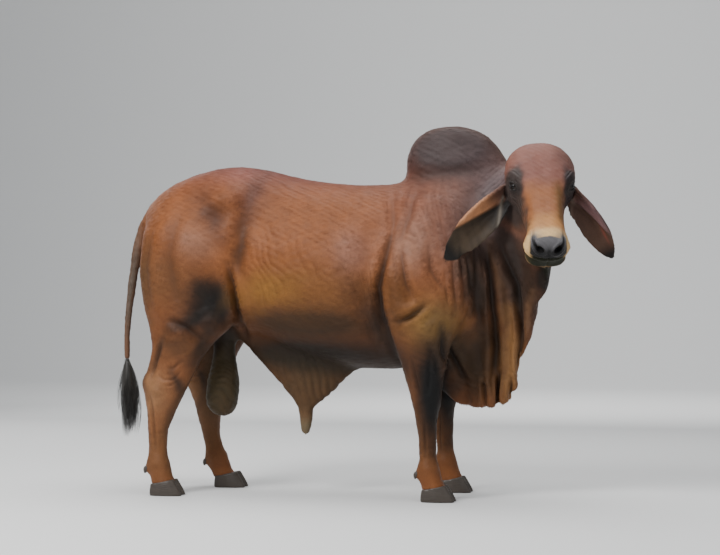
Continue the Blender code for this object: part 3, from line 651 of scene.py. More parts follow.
class SurfaceMesh:
    """Array access to a mesh of the animal, in the animal's own measures."""

    def __init__(self, mesh: Mesh) -> None:
        """Keep the mesh and its edges."""
        self.mesh = mesh
        self.first, self.second = read(mesh.edges, "vertices", 2, np.int32).T
        count = len(mesh.vertices)
        self.links = np.bincount(self.first, minlength=count) + np.bincount(self.second, minlength=count)

    def places(self) -> Rows:
        """The vertices, in the animal's own measures."""
        return read(self.mesh.vertices, "co", 3).astype(float) - ORIGIN

    def put(self, places: Rows) -> None:
        """Move the vertices to places in the animal's own measures."""
        self.mesh.vertices.foreach_set("co", (places + ORIGIN).astype(np.float32).ravel())
        self.mesh.update()

    def ways(self) -> Rows:
        """The way out at each vertex."""
        return read(self.mesh.vertex_normals, "vector", 3).astype(float)

    def neighbour_mean(self, values: Rows) -> Rows:
        """The mean of the neighbours' values at each vertex.

        Args:
            values: Rows of values, one for each vertex.

        Returns:
            Rows of means.
        """
        ends = ((self.first, self.second), (self.second, self.first))
        total = [sum(np.bincount(at, column[of], len(values)) for at, of in ends) for column in values.T]
        return np.stack(total, 1) / self.links[:, None]

    def soften(self, weights: Rows, rounds: int, back: float = 0.0) -> None:
        """Pull vertices towards their neighbours.

        Args:
            weights: How strongly, 0 to 1, for each vertex.
            rounds: How many times.
            back: The share of a push that follows each pull, so that thin parts keep their size.
        """
        places = self.places()
        pull = 0.5 * weights[:, None]
        for _ in range(rounds):
            places += pull * (self.neighbour_mean(places) - places)
            if back:
                places -= back * pull * (self.neighbour_mean(places) - places)
        self.put(places)


@dataclass(frozen=True)
class MarkingsAndShade:
    """The animal's colours with painted shade, painted shadows and painted highlights laid in, the same on
    the skin and on the coat.
    """

    depth: float = 1.18
    strength: float = 0.66
    base: Colour = linear(144, 91, 61)
    patches: tuple[Patch, ...] = tuple(Patch(*row) for row in (
        # top of the back: darker mauve tint, partly a painted sky reflection
        ((-0.2, 0.0, 1.5), (0.75, 0.26, 0.13), (110, 57, 51), 0.84),
        ((-0.1, 0.33, 0.92), (0.38, 0.2, 0.12), (128, 88, 56), 0.75),
        # lower barrel: partly a darker underline, partly painted shade under the body
        ((-0.12, 0.3, 0.78), (0.44, 0.3, 0.08), (62, 44, 27), 0.9),
        # this and the next two: painted shade under the belly and the chest
        ((-0.15, 0.1, 0.64), (0.44, 0.36, 0.1), (34, 27, 20), 0.96),
        ((0.02, 0.1, 0.605), (0.36, 0.38, 0.075), (15, 13, 9), 0.97),
        ((0.3, 0.12, 0.6), (0.3, 0.16, 0.12), (52, 36, 28), 0.85),
        # painted shadow in the hollow between thigh and flank
        ((-0.58, 0.3, 0.87), (0.12, 0.2, 0.1), (62, 42, 31), 0.85),
        # painted highlight on the hip
        ((-0.61, 0.3, 1.13), (0.09, 0.16, 0.07), (156, 116, 98), 0.6),
        # painted shade in the hollow behind the hip
        ((-0.53, 0.28, 1.26), (0.07, 0.14, 0.06), (112, 74, 54), 0.6),
        # painted shade in the hollow before the hip bone
        ((-0.37, 0.26, 1.38), (0.07, 0.14, 0.07), (112, 74, 60), 0.6),
        ((-0.78, 0.26, 0.98), (0.15, 0.2, 0.13), (112, 78, 54), 0.7),
        ((-0.7, 0.24, 0.68), (0.12, 0.14, 0.07), (98, 66, 44), 0.78),
        ((-0.84, 0.2, 0.47), (0.09, 0.14, 0.12), (160, 122, 92), 0.8),
        ((-0.8, 0.2, 0.2), (0.2, 0.14, 0.16), (120, 86, 60), 0.75),
        # painted shadow between the hind legs, under the thighs
        ((-0.6, 0.0, 0.74), (0.18, 0.1, 0.2), (40, 31, 25), 0.95),
        ((-0.66, 0.14, 0.45), (0.12, 0.09, 0.24), (86, 68, 50), 0.8),
        ((0.45, 0.28, 1.25), (0.22, 0.22, 0.2), (140, 96, 80), 0.75),
        ((0.3, 0.32, 0.92), (0.07, 0.16, 0.12), (104, 68, 42), 0.75),
        ((0.47, 0.28, 0.78), (0.11, 0.18, 0.1), (154, 120, 76), 0.85),
        ((0.34, 0.2, 1.4), (0.12, 0.22, 0.12), (124, 72, 50), 0.72),
        ((0.1, 0.32, 1.1), (0.08, 0.14, 0.1), (158, 118, 104), 0.6),
        # painted shade on the inner side of the forelegs
        ((0.42, 0.14, 0.56), (0.12, 0.1, 0.16), (40, 30, 24), 0.85),
        ((0.42, 0.2, 0.3), (0.16, 0.14, 0.22), (108, 76, 50), 0.7),
        # painted shade on the front of the forelegs
        ((0.445, 0.28, 0.5), (0.065, 0.12, 0.2), (10, 9, 8), 0.96),
        ((0.37, 0.3, 1.13), (0.09, 0.14, 0.1), (160, 122, 104), 0.5),
        # top of the rump: lighter mauve, partly a painted highlight of sky reflection
        ((-0.42, 0.1, 1.46), (0.12, 0.16, 0.06), (140, 92, 84), 0.5),
        # darkest part of the painted shadow between thigh and flank
        ((-0.545, 0.3, 0.87), (0.07, 0.12, 0.07), (16, 13, 11), 0.95),
        ((0.5, 0.06, 1.56), (0.3, 0.3, 0.17), (64, 55, 55), 0.95),
        ((0.74, 0.16, 1.34), (0.17, 0.2, 0.2), (102, 90, 92), 0.88),
        ((0.64, 0.14, 1.12), (0.15, 0.2, 0.2), (92, 84, 84), 0.8),
        ((0.78, 0.14, 1.0), (0.1, 0.22, 0.24), (54, 40, 33), 0.85),
        ((0.7, 0.06, 0.6), (0.16, 0.16, 0.2), (94, 69, 48), 0.85),
        ((0.86, 0.22, 0.92), (0.08, 0.2, 0.2), (62, 47, 38), 0.9),
        ((0.94, 0.38, 0.97), (0.08, 0.16, 0.1), (25, 20, 17), 0.97),
        ((0.54, 0.1, 0.62), (0.06, 0.14, 0.12), (76, 56, 42), 0.85),
        # sheath: khaki tone, partly a painted reflection of grass
        ((-0.16, 0.0, 0.46), (0.26, 0.14, 0.16), (74, 60, 42), 0.85),
        ((-0.18, 0.0, 0.29), (0.1, 0.08, 0.06), (122, 112, 90), 0.8),
        ((-0.58, 0.0, 0.46), (0.14, 0.11, 0.2), (46, 52, 36), 0.92),
        ((-0.625, 0.05, 0.57), (0.05, 0.09, 0.1), (90, 76, 54), 0.75),
        ((0.5, 0.0, -0.18), (0.14, 0.1, 0.05), (29, 30, 19), 0.98, True),
    ))
    strokes: tuple[Stroke, ...] = tuple(Stroke(*row) for row in (
        (((-0.975, 1.29), (-0.985, 1.1), (-1.02, 0.85), (-1.029, 0.6)), 0.04, (100, 88, 78), 1.0),
        # this and the next three strokes: painted shadow of the thigh, down to the front of the gaskin
        (((-0.6, 0.95), (-0.53, 0.93), (-0.495, 0.88), (-0.51, 0.8), (-0.56, 0.75)),
         0.046, (18, 15, 12), 0.98),
        (((-0.58, 0.92), (-0.575, 0.86), (-0.61, 0.8), (-0.72, 0.755)), 0.046, (24, 19, 15), 0.96),
        (((-0.56, 0.74), (-0.605, 0.68), (-0.64, 0.6)), 0.034, (46, 34, 25), 0.85),
        (((-0.745, 0.56), (-0.716, 0.515), (-0.7, 0.45)), 0.02, (46, 34, 26), 0.85),
        (((-0.7, 0.47), (-0.76, 0.35), (-0.765, 0.2)), 0.022, (78, 56, 40), 0.6),
        (((-0.85, 0.6), (-0.885, 0.52), (-0.86, 0.44)), 0.016, (88, 60, 44), 0.7),
        # painted shade along the hollow in front of the thigh
        (((-0.39, 1.28), (-0.4, 1.13), (-0.45, 1.0)), 0.036, (100, 66, 46), 0.6),
        (((-0.4, 0.9), (-0.3, 0.93), (-0.18, 0.94)), 0.07, (158, 114, 66), 0.7),
        (((0.06, 1.02), (0.12, 0.92), (0.16, 0.82)), 0.06, (96, 62, 42), 0.65),
        # this and the next stroke: painted shade in the hollows behind and before the hip
        (((-0.6, 1.34), (-0.53, 1.24), (-0.5, 1.16)), 0.052, (76, 44, 29), 0.84),
        (((-0.34, 1.45), (-0.375, 1.35), (-0.4, 1.25)), 0.046, (88, 54, 43), 0.8),
        (((-0.86, 1.15), (-0.88, 0.95), (-0.85, 0.78)), 0.035, (92, 72, 50), 0.6),
        (((-0.75, 0.76), (-0.8, 0.66), (-0.83, 0.58)), 0.03, (84, 58, 40), 0.6),
        # painted shade in the crease behind the shoulder
        (((0.262, 1.16), (0.216, 0.94), (0.232, 0.812), (0.285, 0.6)), 0.014, (62, 40, 27), 0.55),
        # painted shade in the hollow behind the elbow
        (((0.19, 0.9), (0.205, 0.76), (0.27, 0.64)), 0.05, (42, 29, 21), 0.9),
        # this and the next stroke: painted shade between the folds of the neck and dewlap
        (((0.63, 1.08), (0.66, 0.9), (0.655, 0.72)), 0.05, (38, 30, 23), 0.88),
        (((0.655, 0.74), (0.62, 0.6), (0.6, 0.48)), 0.05, (58, 44, 33), 0.85),
        (((0.48, 0.82), (0.53, 0.66), (0.6, 0.52)), 0.06, (72, 56, 42), 0.8),
        # painted shade between the neck folds
        (((0.59, 1.12), (0.62, 0.98), (0.64, 0.86)), 0.04, (52, 42, 34), 0.8),
        # painted shade down the front of the forelegs
        (((0.455, 0.68), (0.445, 0.45), (0.455, 0.24)), 0.062, (8, 7, 6), 1.0),
        (((0.76, 1.22), (0.8, 1.05), (0.82, 0.92)), 0.06, (44, 35, 31), 0.85),
        (((0.69, 1.14), (0.72, 1.01), (0.752, 0.9), (0.765, 0.79)), 0.024, (88, 64, 47), 0.92),
        # painted highlight along a lit fold of the dewlap
        (((0.766, 0.84), (0.778, 0.7), (0.774, 0.57), (0.745, 0.42)), 0.036, (144, 107, 74), 0.95),
        (((0.885, 0.92), (0.86, 0.85), (0.835, 0.72)), 0.02, (108, 80, 60), 0.85),
        (((0.56, 1.2), (0.57, 1.05), (0.56, 0.9)), 0.016, (112, 86, 74), 0.6),
        # painted shade in a neck fold
        (((0.6, 1.22), (0.615, 1.06), (0.62, 0.92)), 0.012, (64, 48, 40), 0.7),
    ))
    forehead: Colour = linear(140, 98, 88)
    bridge: Colour = linear(164, 112, 84)
    bridge_low: Colour = linear(212, 158, 110)
    # painted light and shade: the sides of the bridge and the cheeks, a lit copy for the head's right and a
    # shaded copy for its left
    bridge_sides_lit_and_shaded: tuple[Colour, Colour] = (linear(150, 96, 62), linear(118, 92, 60))
    cheek_shade: tuple[Colour, Colour] = (linear(54, 51, 49), linear(26, 30, 34))
    jaw: Colour = linear(128, 74, 54)
    # painted shade on the left of the forehead
    far_brow_shade: Colour = linear(104, 76, 70)
    lids: Colour = linear(58, 50, 47)
    ring: Colour = linear(252, 214, 162)
    # pad: light top colour, a painted wet sheen; darkened lower down as painted shade
    pad: Colour = linear(112, 110, 112)
    chin: Colour = linear(30, 33, 17)
    ear_hollow: Colour = linear(40, 34, 30)
    ear_floor: Colour = linear(74, 62, 50)
    ear_roll: Colour = linear(216, 158, 122)
    ear_roll_far: Colour = linear(170, 134, 134)
    ear_floor_far: Colour = linear(124, 94, 82)
    ear_streak: Colour = linear(160, 92, 80)
    ear_back: Colour = linear(112, 82, 72)
    # black rim and tip colour, also laid as painted shade at the ear's inner base
    ear_rim_and_base_shade: Colour = linear(22, 20, 19)
    # pale strip: a painted highlight along the raised fold
    ear_strip: Colour = linear(122, 114, 104)

    def pad_mask(self, head: Rows) -> Rows:
        """Where the bare nose pad is.

        Args:
            head: Mirrored places in the head's axes.

        Returns:
            0 to 1 for each place.
        """
        along, wide, out = head.T
        front = ramp(along + 0.22 * out - 0.1 * wide, 0.5, 0.508)
        width = ramp(wide + 0.2 * np.maximum(out + 0.03, 0), 0.082, 0.074)
        hole = nearness(head, (0.53, 0.046, -0.034), (0.05, 0.03, 0.024))
        wing = nearness(head, (0.524, 0.058, -0.028), (0.045, 0.022, 0.02))
        front = np.maximum(front, np.minimum(1.8 * np.maximum(hole, wing), 1) * ramp(out, 0.004, -0.01))
        return front * width * ramp(out, -0.08, -0.072)

    def paint_face(self, colour: Rows, head: Rows) -> None:
        """Colour the face in place: forehead, bridge, muzzle and chin, with painted shade on the sides and
        more of it on the head's left.

        Args:
            colour: Rows of colour.
            head: Places in the head's axes.
        """
        along, aside, out = head.T
        wide = np.abs(aside)
        halves = (aside < 0, aside >= 0)
        on_face = ramp(along, -0.1, -0.04) * ramp(wide, 0.21, 0.17) * ramp(out, -0.27, -0.21)
        on_face *= 1 - ramp(along, 0.25, 0.35) * ramp(out, -0.15, -0.162)
        on_face *= ramp(out + 1.2 * np.maximum(along - 0.06, 0), -0.135, -0.095)
        sway = 0.008 * cloudiness(head, 0.06, 8)
        warm = 0.7 * bell(wide - 0.062, 0.022) * ramp(along, 0.18, 0.26) * ramp(along, 0.44, 0.38)
        # edge, side and lower: painted shade on the sides and underside of the face, which turn from the
        # front
        edge = wide + 0.5 * sway - 0.088 + 0.07 * np.maximum(along - 0.2, 0)
        side = ramp(edge, -0.014, 0.014) * ramp(along + sway, 0.085, 0.145) * ramp(along, 0.45, 0.405)
        lower = ramp(out, -0.09, -0.13) * ramp(along, 0.06, 0.12) * ramp(along, 0.46, 0.42)
        side = 0.92 * np.maximum(side, lower)
        jaw = 0.6 * nearness(mirrored(head), (0.05, 0.15, -0.07), (0.06, 0.05, 0.07))
        ring = 0.97 * ramp(along + 0.35 * sway - 0.1 * np.maximum(-0.06 - out, 0), 0.44, 0.482)
        lip = out + 0.086 + 0.26 * (0.56 - along) + 0.3 * sway
        low = ramp(along, 0.4, 0.46)
        tints = [(np.ones(len(head)), self.forehead), (ramp(along + sway, 0.17, 0.27), self.bridge)]
        tints += [(0.8 * ramp(along + sway, 0.34, 0.43), self.bridge_low)]
        # sides of the bridge: lit on the head's right, painted shade on its left
        tints += [(warm * half, tint) for half, tint in zip(halves, self.bridge_sides_lit_and_shaded)]
        # cheeks: painted shade, darker on the head's left
        tints += [(side * half, tint) for half, tint in zip(halves, self.cheek_shade)]
        tints += [(jaw, self.jaw), (ring, self.ring)]
        tints += [(0.995 * ramp(lip, 0.028, 0.015) * ramp(wide, 0.082, 0.06) * low, self.chin)]
        tints += [(0.96 * ramp(lip, -0.012, -0.03) * low, self.chin)]
        # painted shade on the left of the forehead
        tints += [(0.6 * ramp(aside, 0.02, 0.1) * ramp(along, 0.18, 0.06), self.far_brow_shade)]
        for share, tint in tints:
            lay(colour, share * on_face, tint)

    def paint_ear(self, colour: Rows, places: Rows, ways: Rows, share: Rows, ear: EarPlace) -> None:
        """Colour an ear in place: rolled upper margin, dark hollow with painted shade at its inner base,
        pale strip as a painted highlight along its fold, black rim and tip.

        Args:
            colour: Rows of colour.
            places: Places of the animal.
            ways: The way out of the skin at each.
            share: How far each place belongs to the ear.
            ear: Where the ear lies.
        """
        along, across = ear.measure(places)
        upper = across * ear.upper
        hollow = ramp(ways @ ear.facing(), -0.1, 0.25)
        roll = ramp(upper - ear.fold(along), -0.14, 0.1) * ramp(along, 0.84, 0.6)
        shade, floor, rolled = (
            np.tile(tint, (len(places), 1)) for tint in (self.ear_back, self.ear_hollow, self.ear_back)
        )
        lay(floor, ramp(along, 0.3, 0.62), self.ear_floor)
        lay(shade, hollow, floor)
        lay(rolled, ramp(along, 0.16, 0.42), self.ear_roll_far if ear.streak else self.ear_roll)
        rolled *= (1 - 0.55 * ramp(upper, 0.7, 0.95))[:, None]
        lay(shade, roll * 0.92, rolled)
        strip = ear.strip(along, upper)
        # painted shade at the inner base of the ear, between the fold and the head
        lay(shade, ramp(strip, -0.006, -0.022) * hollow * ramp(along, 0.6, 0.45) * 0.8, self.ear_rim_and_base_shade)
        # pale strip: a painted highlight along the raised fold
        line = bell(strip, 0.007) * ramp(along, 0.13, 0.18) * ramp(along, 0.52, 0.42) * hollow
        lay(shade, line * 0.9, self.ear_strip)
        if ear.streak:
            lay(shade, 0.6 * hollow * (1 - roll), self.ear_floor_far)
            lay(shade, 0.75 * bell(upper - 0.33, 0.07) * bell(along - 0.71, 0.1) * hollow, self.ear_streak)
        edge = ramp(np.abs(across), 0.86, 1.0) * ramp(along, 0.45, 0.62) * 0.7 + ramp(along, 0.78, 0.95)
        lay(shade, np.clip(edge, 0, 0.95), self.ear_rim_and_base_shade)
        lay(colour, share, shade)

    def at(self, places: Rows, ways: Rows, ears: EarShares) -> tuple[Rows, Rows]:
        """The colour, with its painted shade and painted highlights, and the surface kind at each place.

        Args:
            places: Places of the animal.
            ways: The way out of the skin at each.
            ears: How far each place belongs to each ear.

        Returns:
            Rows of colour, and rows of bareness, wetness and 0.
        """
        head = HEAD.inside(places)
        twin, twin_head = mirrored(places), mirrored(head)
        colour = np.tile(np.array(self.base), (len(places), 1))
        for patch in self.patches:
            patch.lay(colour, twin, twin_head)
        uneven = 1 + 0.25 * cloudiness(places, 0.09, 51)
        for stroke in self.strokes:
            stroke.lay(colour, places, uneven)
        self.paint_face(colour, head)
        bare = np.zeros(len(places))
        for side, ear in EARS.items():
            self.paint_ear(colour, places, ways, ears[side], ear)
            opening, reach = EYE.around(head, side)
            close = ramp(reach, 0.085, 0.05)
            lay(colour, 0.85 * close * ramp(opening, 3.6, 1.9), self.lids)
            bare = np.maximum(bare, close * ramp(opening, 2.0, 1.6))
            colour *= (1 - 0.7 * ramp(opening, 1.5, 1.1) * ramp(reach, 0.04, 0.03))[:, None]
        pad = self.pad_mask(twin_head)
        # pad: lighter on top as a painted wet sheen, darker underneath as painted shade
        lower = ramp(head[:, 2] + 0.2 * twin_head[:, 1], -0.014, -0.045)[:, None]
        lay(colour, pad, np.array(self.pad) * (1 - 0.9 * lower))
        # painted shade inside the nostril openings
        for side in Side:
            nostril = nearness(head, (0.542, 0.043 * side.value, -0.039), (0.034, 0.022, 0.018))
            colour *= (1 - 0.8 * np.minimum(1.3 * nostril, 1))[:, None]
        bag = nearness(places, (-0.58, 0.0, 0.44), (0.12, 0.1, 0.13))
        bare = np.maximum(np.maximum(bare, pad), np.minimum(1.3 * bag, 0.8))
        uneven = 1 + 0.05 * cloudiness(places, 0.22, 3) + 0.045 * cloudiness(places, 0.05, 4)
        colour = np.clip(self.toned(colour) * uneven[:, None], 0.002, 1)
        return colour, np.column_stack([bare, pad, np.zeros(len(places))])

    def toned(self, colour: Rows) -> Rows:
        """The colours as the hide needs them under the studio's light."""
        grey = colour @ np.array((0.3, 0.6, 0.1))
        return np.maximum(grey[:, None] + self.depth * (colour - grey[:, None]), 0) * self.strength


MARKINGS_AND_SHADE = MarkingsAndShade()


class ShaderTree:
    """Short ways to add and join nodes in a material or a node group."""

    def __init__(self, tree: bpy.types.NodeTree) -> None:
        """Keep the node tree."""
        self.tree = tree

    def put(self, node: bpy.types.Node, values: Inputs) -> None:
        """Set a node's inputs.

        Args:
            node: The node.
            values: A socket to join or a plain value for each input.
        """
        for key, value in values.items():
            if isinstance(value, bpy.types.NodeSocket):
                self.tree.links.new(value, node.inputs[key])
            else:
                node.inputs[key].default_value = value

    def add(self, kind: str, values: Inputs | None = None, **settings: object) -> bpy.types.Node:
        """Add a node.

        Args:
            kind: The node's type.
            values: What its inputs are set or joined to.
            **settings: Properties to set on it.

        Returns:
            The node.
        """
        node = self.tree.nodes.new(kind)
        for key, value in settings.items():
            setattr(node, key, value)
        self.put(node, values or {})
        return node

    def place(self) -> Socket:
        """The place on the object."""
        return self.add("ShaderNodeTexCoord").outputs["Object"]

    def stored(self, layer: str) -> Socket:
        """A colour that the mesh stores."""
        return self.add("ShaderNodeVertexColor", layer_name=layer).outputs["Color"]

    def stretched(self, where: Socket, upright: float) -> Socket:
        """Places with their heights multiplied."""
        return self.add("ShaderNodeMapping", {"Vector": where, "Scale": (1.0, 1.0, upright)}).outputs[0]

    def noise(self, where: Socket, scale: float, detail: float) -> Socket:
        """Noise read at a place, with so many waves to the metre and finer layers."""
        values = {"Vector": where, "Scale": scale, "Detail": detail}
        return self.add("ShaderNodeTexNoise", values).outputs["Fac"]

    def math(self, operation: str, first: Socket | float, second: Socket | float) -> Socket:
        """A sum of two values, each a socket or a number."""
        return self.add("ShaderNodeMath", {0: first, 1: second}, operation=operation).outputs[0]

    def span(self, value: Socket, low: float, high: float) -> Socket:
        """A value of 0 to 1 spread between two others."""
        values = {"Value": value, "To Min": low, "To Max": high}
        return self.add("ShaderNodeMapRange", values).outputs["Result"]

    def tinted(self, colour: Socket, amount: Socket) -> Socket:
        """A colour multiplied by a grey amount."""
        return self.add("ShaderNodeVectorMath", {0: colour, "Scale": amount}, operation="SCALE").outputs[0]

    def mottled(self, scale: float, detail: float) -> Socket:
        """The stored markings with noise in their tone."""
        tone = self.span(self.noise(self.place(), scale, detail), 0.7, 1.3)
        return self.tinted(self.stored("markings"), tone)

    def mixed(self, share: Socket, first: Socket, second: Socket) -> Socket:
        """A value between two others."""
        return self.add("ShaderNodeMix", {0: share, 2: first, 3: second}, data_type="FLOAT").outputs[0]

    def bump(self, height: Socket, distance: float, strength: float) -> Socket:
        """The normal of a relief."""
        values = {"Height": height, "Distance": distance, "Strength": strength}
        return self.add("ShaderNodeBump", values).outputs["Normal"]


def new_material(name: str) -> tuple[bpy.types.Material, ShaderTree, bpy.types.Node]:
    """A new material.

    Args:
        name: Its name.

    Returns:
        The material, its tree and its shader.
    """
    made = bpy.data.materials.new(name)
    made.use_nodes = True
    return made, ShaderTree(made.node_tree), made.node_tree.nodes["Principled BSDF"]


def new_group(name: str, inputs: Kinds, outputs: Kinds) -> tuple[ShaderTree, Sockets, bpy.types.Node]:
    """A shader node group with named sockets.

    Args:
        name: The group's name.
        inputs: Socket types by name.
        outputs: Socket types by name.

    Returns:
        The tree, its inner input sockets by name, and the node that takes its outputs.
    """
    group = bpy.data.node_groups.new(name, "ShaderNodeTree")
    for way, kinds in (("INPUT", inputs), ("OUTPUT", outputs)):
        for label, kind in kinds.items():
            group.interface.new_socket(name=label, in_out=way, socket_type=kind)
    tree = ShaderTree(group)
    entry = tree.add("NodeGroupInput")
    return tree, {socket.name: socket for socket in entry.outputs}, tree.add("NodeGroupOutput")


class Effects:
    """The effects that several materials share."""

    VALUE = "NodeSocketFloat"
    TINT = "NodeSocketColor"
    VECTOR = "NodeSocketVector"

    def __init__(self) -> None:
        """Build each group once."""
        self.grain = self.short_hair()
        self.leather = self.bare_skin()
        self.rings = self.growth_rings()

    def short_hair(self) -> bpy.types.NodeTree:
        """The lie of short hair: uneven tone and fine relief."""
        tree, given, leave = new_group(
            "short hair",
            {"Place": self.VECTOR, "Colour": self.TINT, "Strength": self.VALUE},
            {"Colour": self.TINT, "Height": self.VALUE, "Roughness": self.VALUE},
        )
        fine = tree.noise(tree.stretched(given["Place"], 0.22), 420, 3)
        broad = tree.noise(given["Place"], 26, 3)
        tone = tree.math("MULTIPLY", tree.span(fine, 0.72, 1.28), tree.span(broad, 0.86, 1.14))
        height = tree.math("MULTIPLY", fine, given["Strength"])
        rough = tree.span(broad, 0.5, 0.66)
        tree.put(leave, {"Colour": tree.tinted(given["Colour"], tone), "Height": height, "Roughness": rough})
        return tree.tree

    def bare_skin(self) -> bpy.types.NodeTree:
        """Bare skin: small cobbles with creases between them."""
        tree, given, leave = new_group(
            "bare skin",
            {"Place": self.VECTOR, "Scale": self.VALUE},
            {"Height": self.VALUE, "Crease": self.VALUE},
        )
        where = {"Vector": given["Place"], "Scale": given["Scale"]}
        cells = tree.add("ShaderNodeTexVoronoi", where, feature="DISTANCE_TO_EDGE")
        edge = tree.add("ShaderNodeMapRange", {"Value": cells.outputs["Distance"], "From Max": 0.16})
        cobble = edge.outputs["Result"]
        tree.put(leave, {"Height": cobble, "Crease": tree.math("SUBTRACT", 1.0, cobble)})
        return tree.tree

    def growth_rings(self) -> bpy.types.NodeTree:
        """Horn: rings of growth and fine upright grain."""
        tree, given, leave = new_group(
            "growth rings",
            {"Place": self.VECTOR, "Colour": self.TINT},
            {"Colour": self.TINT, "Height": self.VALUE, "Roughness": self.VALUE},
        )
        ring = tree.noise(tree.stretched(given["Place"], 14.0), 16, 2)
        grain = tree.noise(tree.stretched(given["Place"], 0.08), 520, 2)
        tone = tree.math("MULTIPLY", tree.span(ring, 0.65, 1.4), tree.span(grain, 0.85, 1.15))
        height = tree.math("ADD", ring, tree.math("MULTIPLY", grain, 0.3))
        rough = tree.span(ring, 0.36, 0.55)
        tree.put(leave, {"Colour": tree.tinted(given["Colour"], tone), "Height": height, "Roughness": rough})
        return tree.tree


@dataclass(frozen=True)
class HideFinish:
    """Hide under its short coat, bare where the markings say so."""

    relief: float = 0.0011
    sheen: float = 0.045
    sheen_tint: Colour = (1.0, 0.86, 0.78)

    def material(self, name: str, effects: Effects, skin: bool) -> bpy.types.Material:
        """The finish as a material.

        Args:
            name: The material's name.
            effects: The shared effects.
            skin: Whether it covers the skin, with its bare places, or the tufts alone.

        Returns:
            The material.
        """
        made, tree, shader = new_material(name)
        tree.put(shader, {"Sheen Weight": self.sheen, "Sheen Roughness": 0.45, "Specular IOR Level": 0.24})
        place = tree.place()
        given = {"Place": place, "Colour": tree.stored("markings"), "Strength": 1.0}
        grain = tree.add("ShaderNodeGroup", given, node_tree=effects.grain).outputs
        tree.put(shader, {"Sheen Tint": (*self.sheen_tint, 1), "Base Color": grain["Colour"]})
        if not skin:
            tree.put(shader, {"Roughness": grain["Roughness"]})
            return made
        parts = tree.add("ShaderNodeSeparateColor", {"Color": tree.stored("kind")})
        bare, wet = parts.outputs["Red"], parts.outputs["Green"]
        given = {"Place": place, "Scale": 280}
        leather = tree.add("ShaderNodeGroup", given, node_tree=effects.leather).outputs
        dull = tree.mixed(bare, grain["Roughness"], tree.span(leather["Crease"], 0.42, 0.7))
        rough = tree.mixed(wet, dull, tree.span(leather["Crease"], 0.3, 0.5))
        height = tree.mixed(bare, grain["Height"], leather["Height"])
        tree.put(shader, {"Roughness": rough, "Normal": tree.bump(height, self.relief, 0.7)})
        return made


@dataclass(frozen=True)
class HairFinish:
    """Long glossy hair."""

    roughness: float = 0.42
    sheen: float = 0.12

    def material(self, name: str) -> bpy.types.Material:
        """The finish as a material.

        Args:
            name: The material's name.

        Returns:
            The material.
        """
        made, tree, shader = new_material(name)
        rough = tree.span(tree.noise(tree.place(), 60, 2), self.roughness - 0.06, self.roughness + 0.1)
        tree.put(shader, {"Sheen Weight": self.sheen, "Specular IOR Level": 0.4})
        tree.put(shader, {"Base Color": tree.mottled(300, 2), "Roughness": rough})
        return made


@dataclass(frozen=True)
class HornFinish:
    """Dark horn of the claws."""

    colour: Colour = linear(62, 54, 47)

    def material(self, name: str, effects: Effects) -> bpy.types.Material:
        """The finish as a material.

        Args:
            name: The material's name.
            effects: The shared effects.

        Returns:
            The material.
        """
        made, tree, shader = new_material(name)
        given = {"Place": tree.place(), "Colour": (*self.colour, 1)}
        rings = tree.add("ShaderNodeGroup", given, node_tree=effects.rings).outputs
        normal = tree.bump(rings["Height"], 0.0014, 0.6)
        tree.put(shader, {"Base Color": rings["Colour"], "Roughness": rings["Roughness"], "Normal": normal})
        return made


@dataclass(frozen=True)
class EyeFinish:
    """A wet, dark eye."""

    def material(self, name: str) -> bpy.types.Material:
        """The finish as a material.

        Args:
            name: The material's name.

        Returns:
            The material.
        """
        made, tree, shader = new_material(name)
        rough = tree.span(tree.noise(tree.place(), 200, 1), 0.1, 0.2)
        tree.put(shader, {"Coat Weight": 0.12, "Coat Roughness": 0.04, "Specular IOR Level": 0.15})
        tree.put(shader, {"Base Color": tree.mottled(700, 3), "Roughness": rough})
        return made


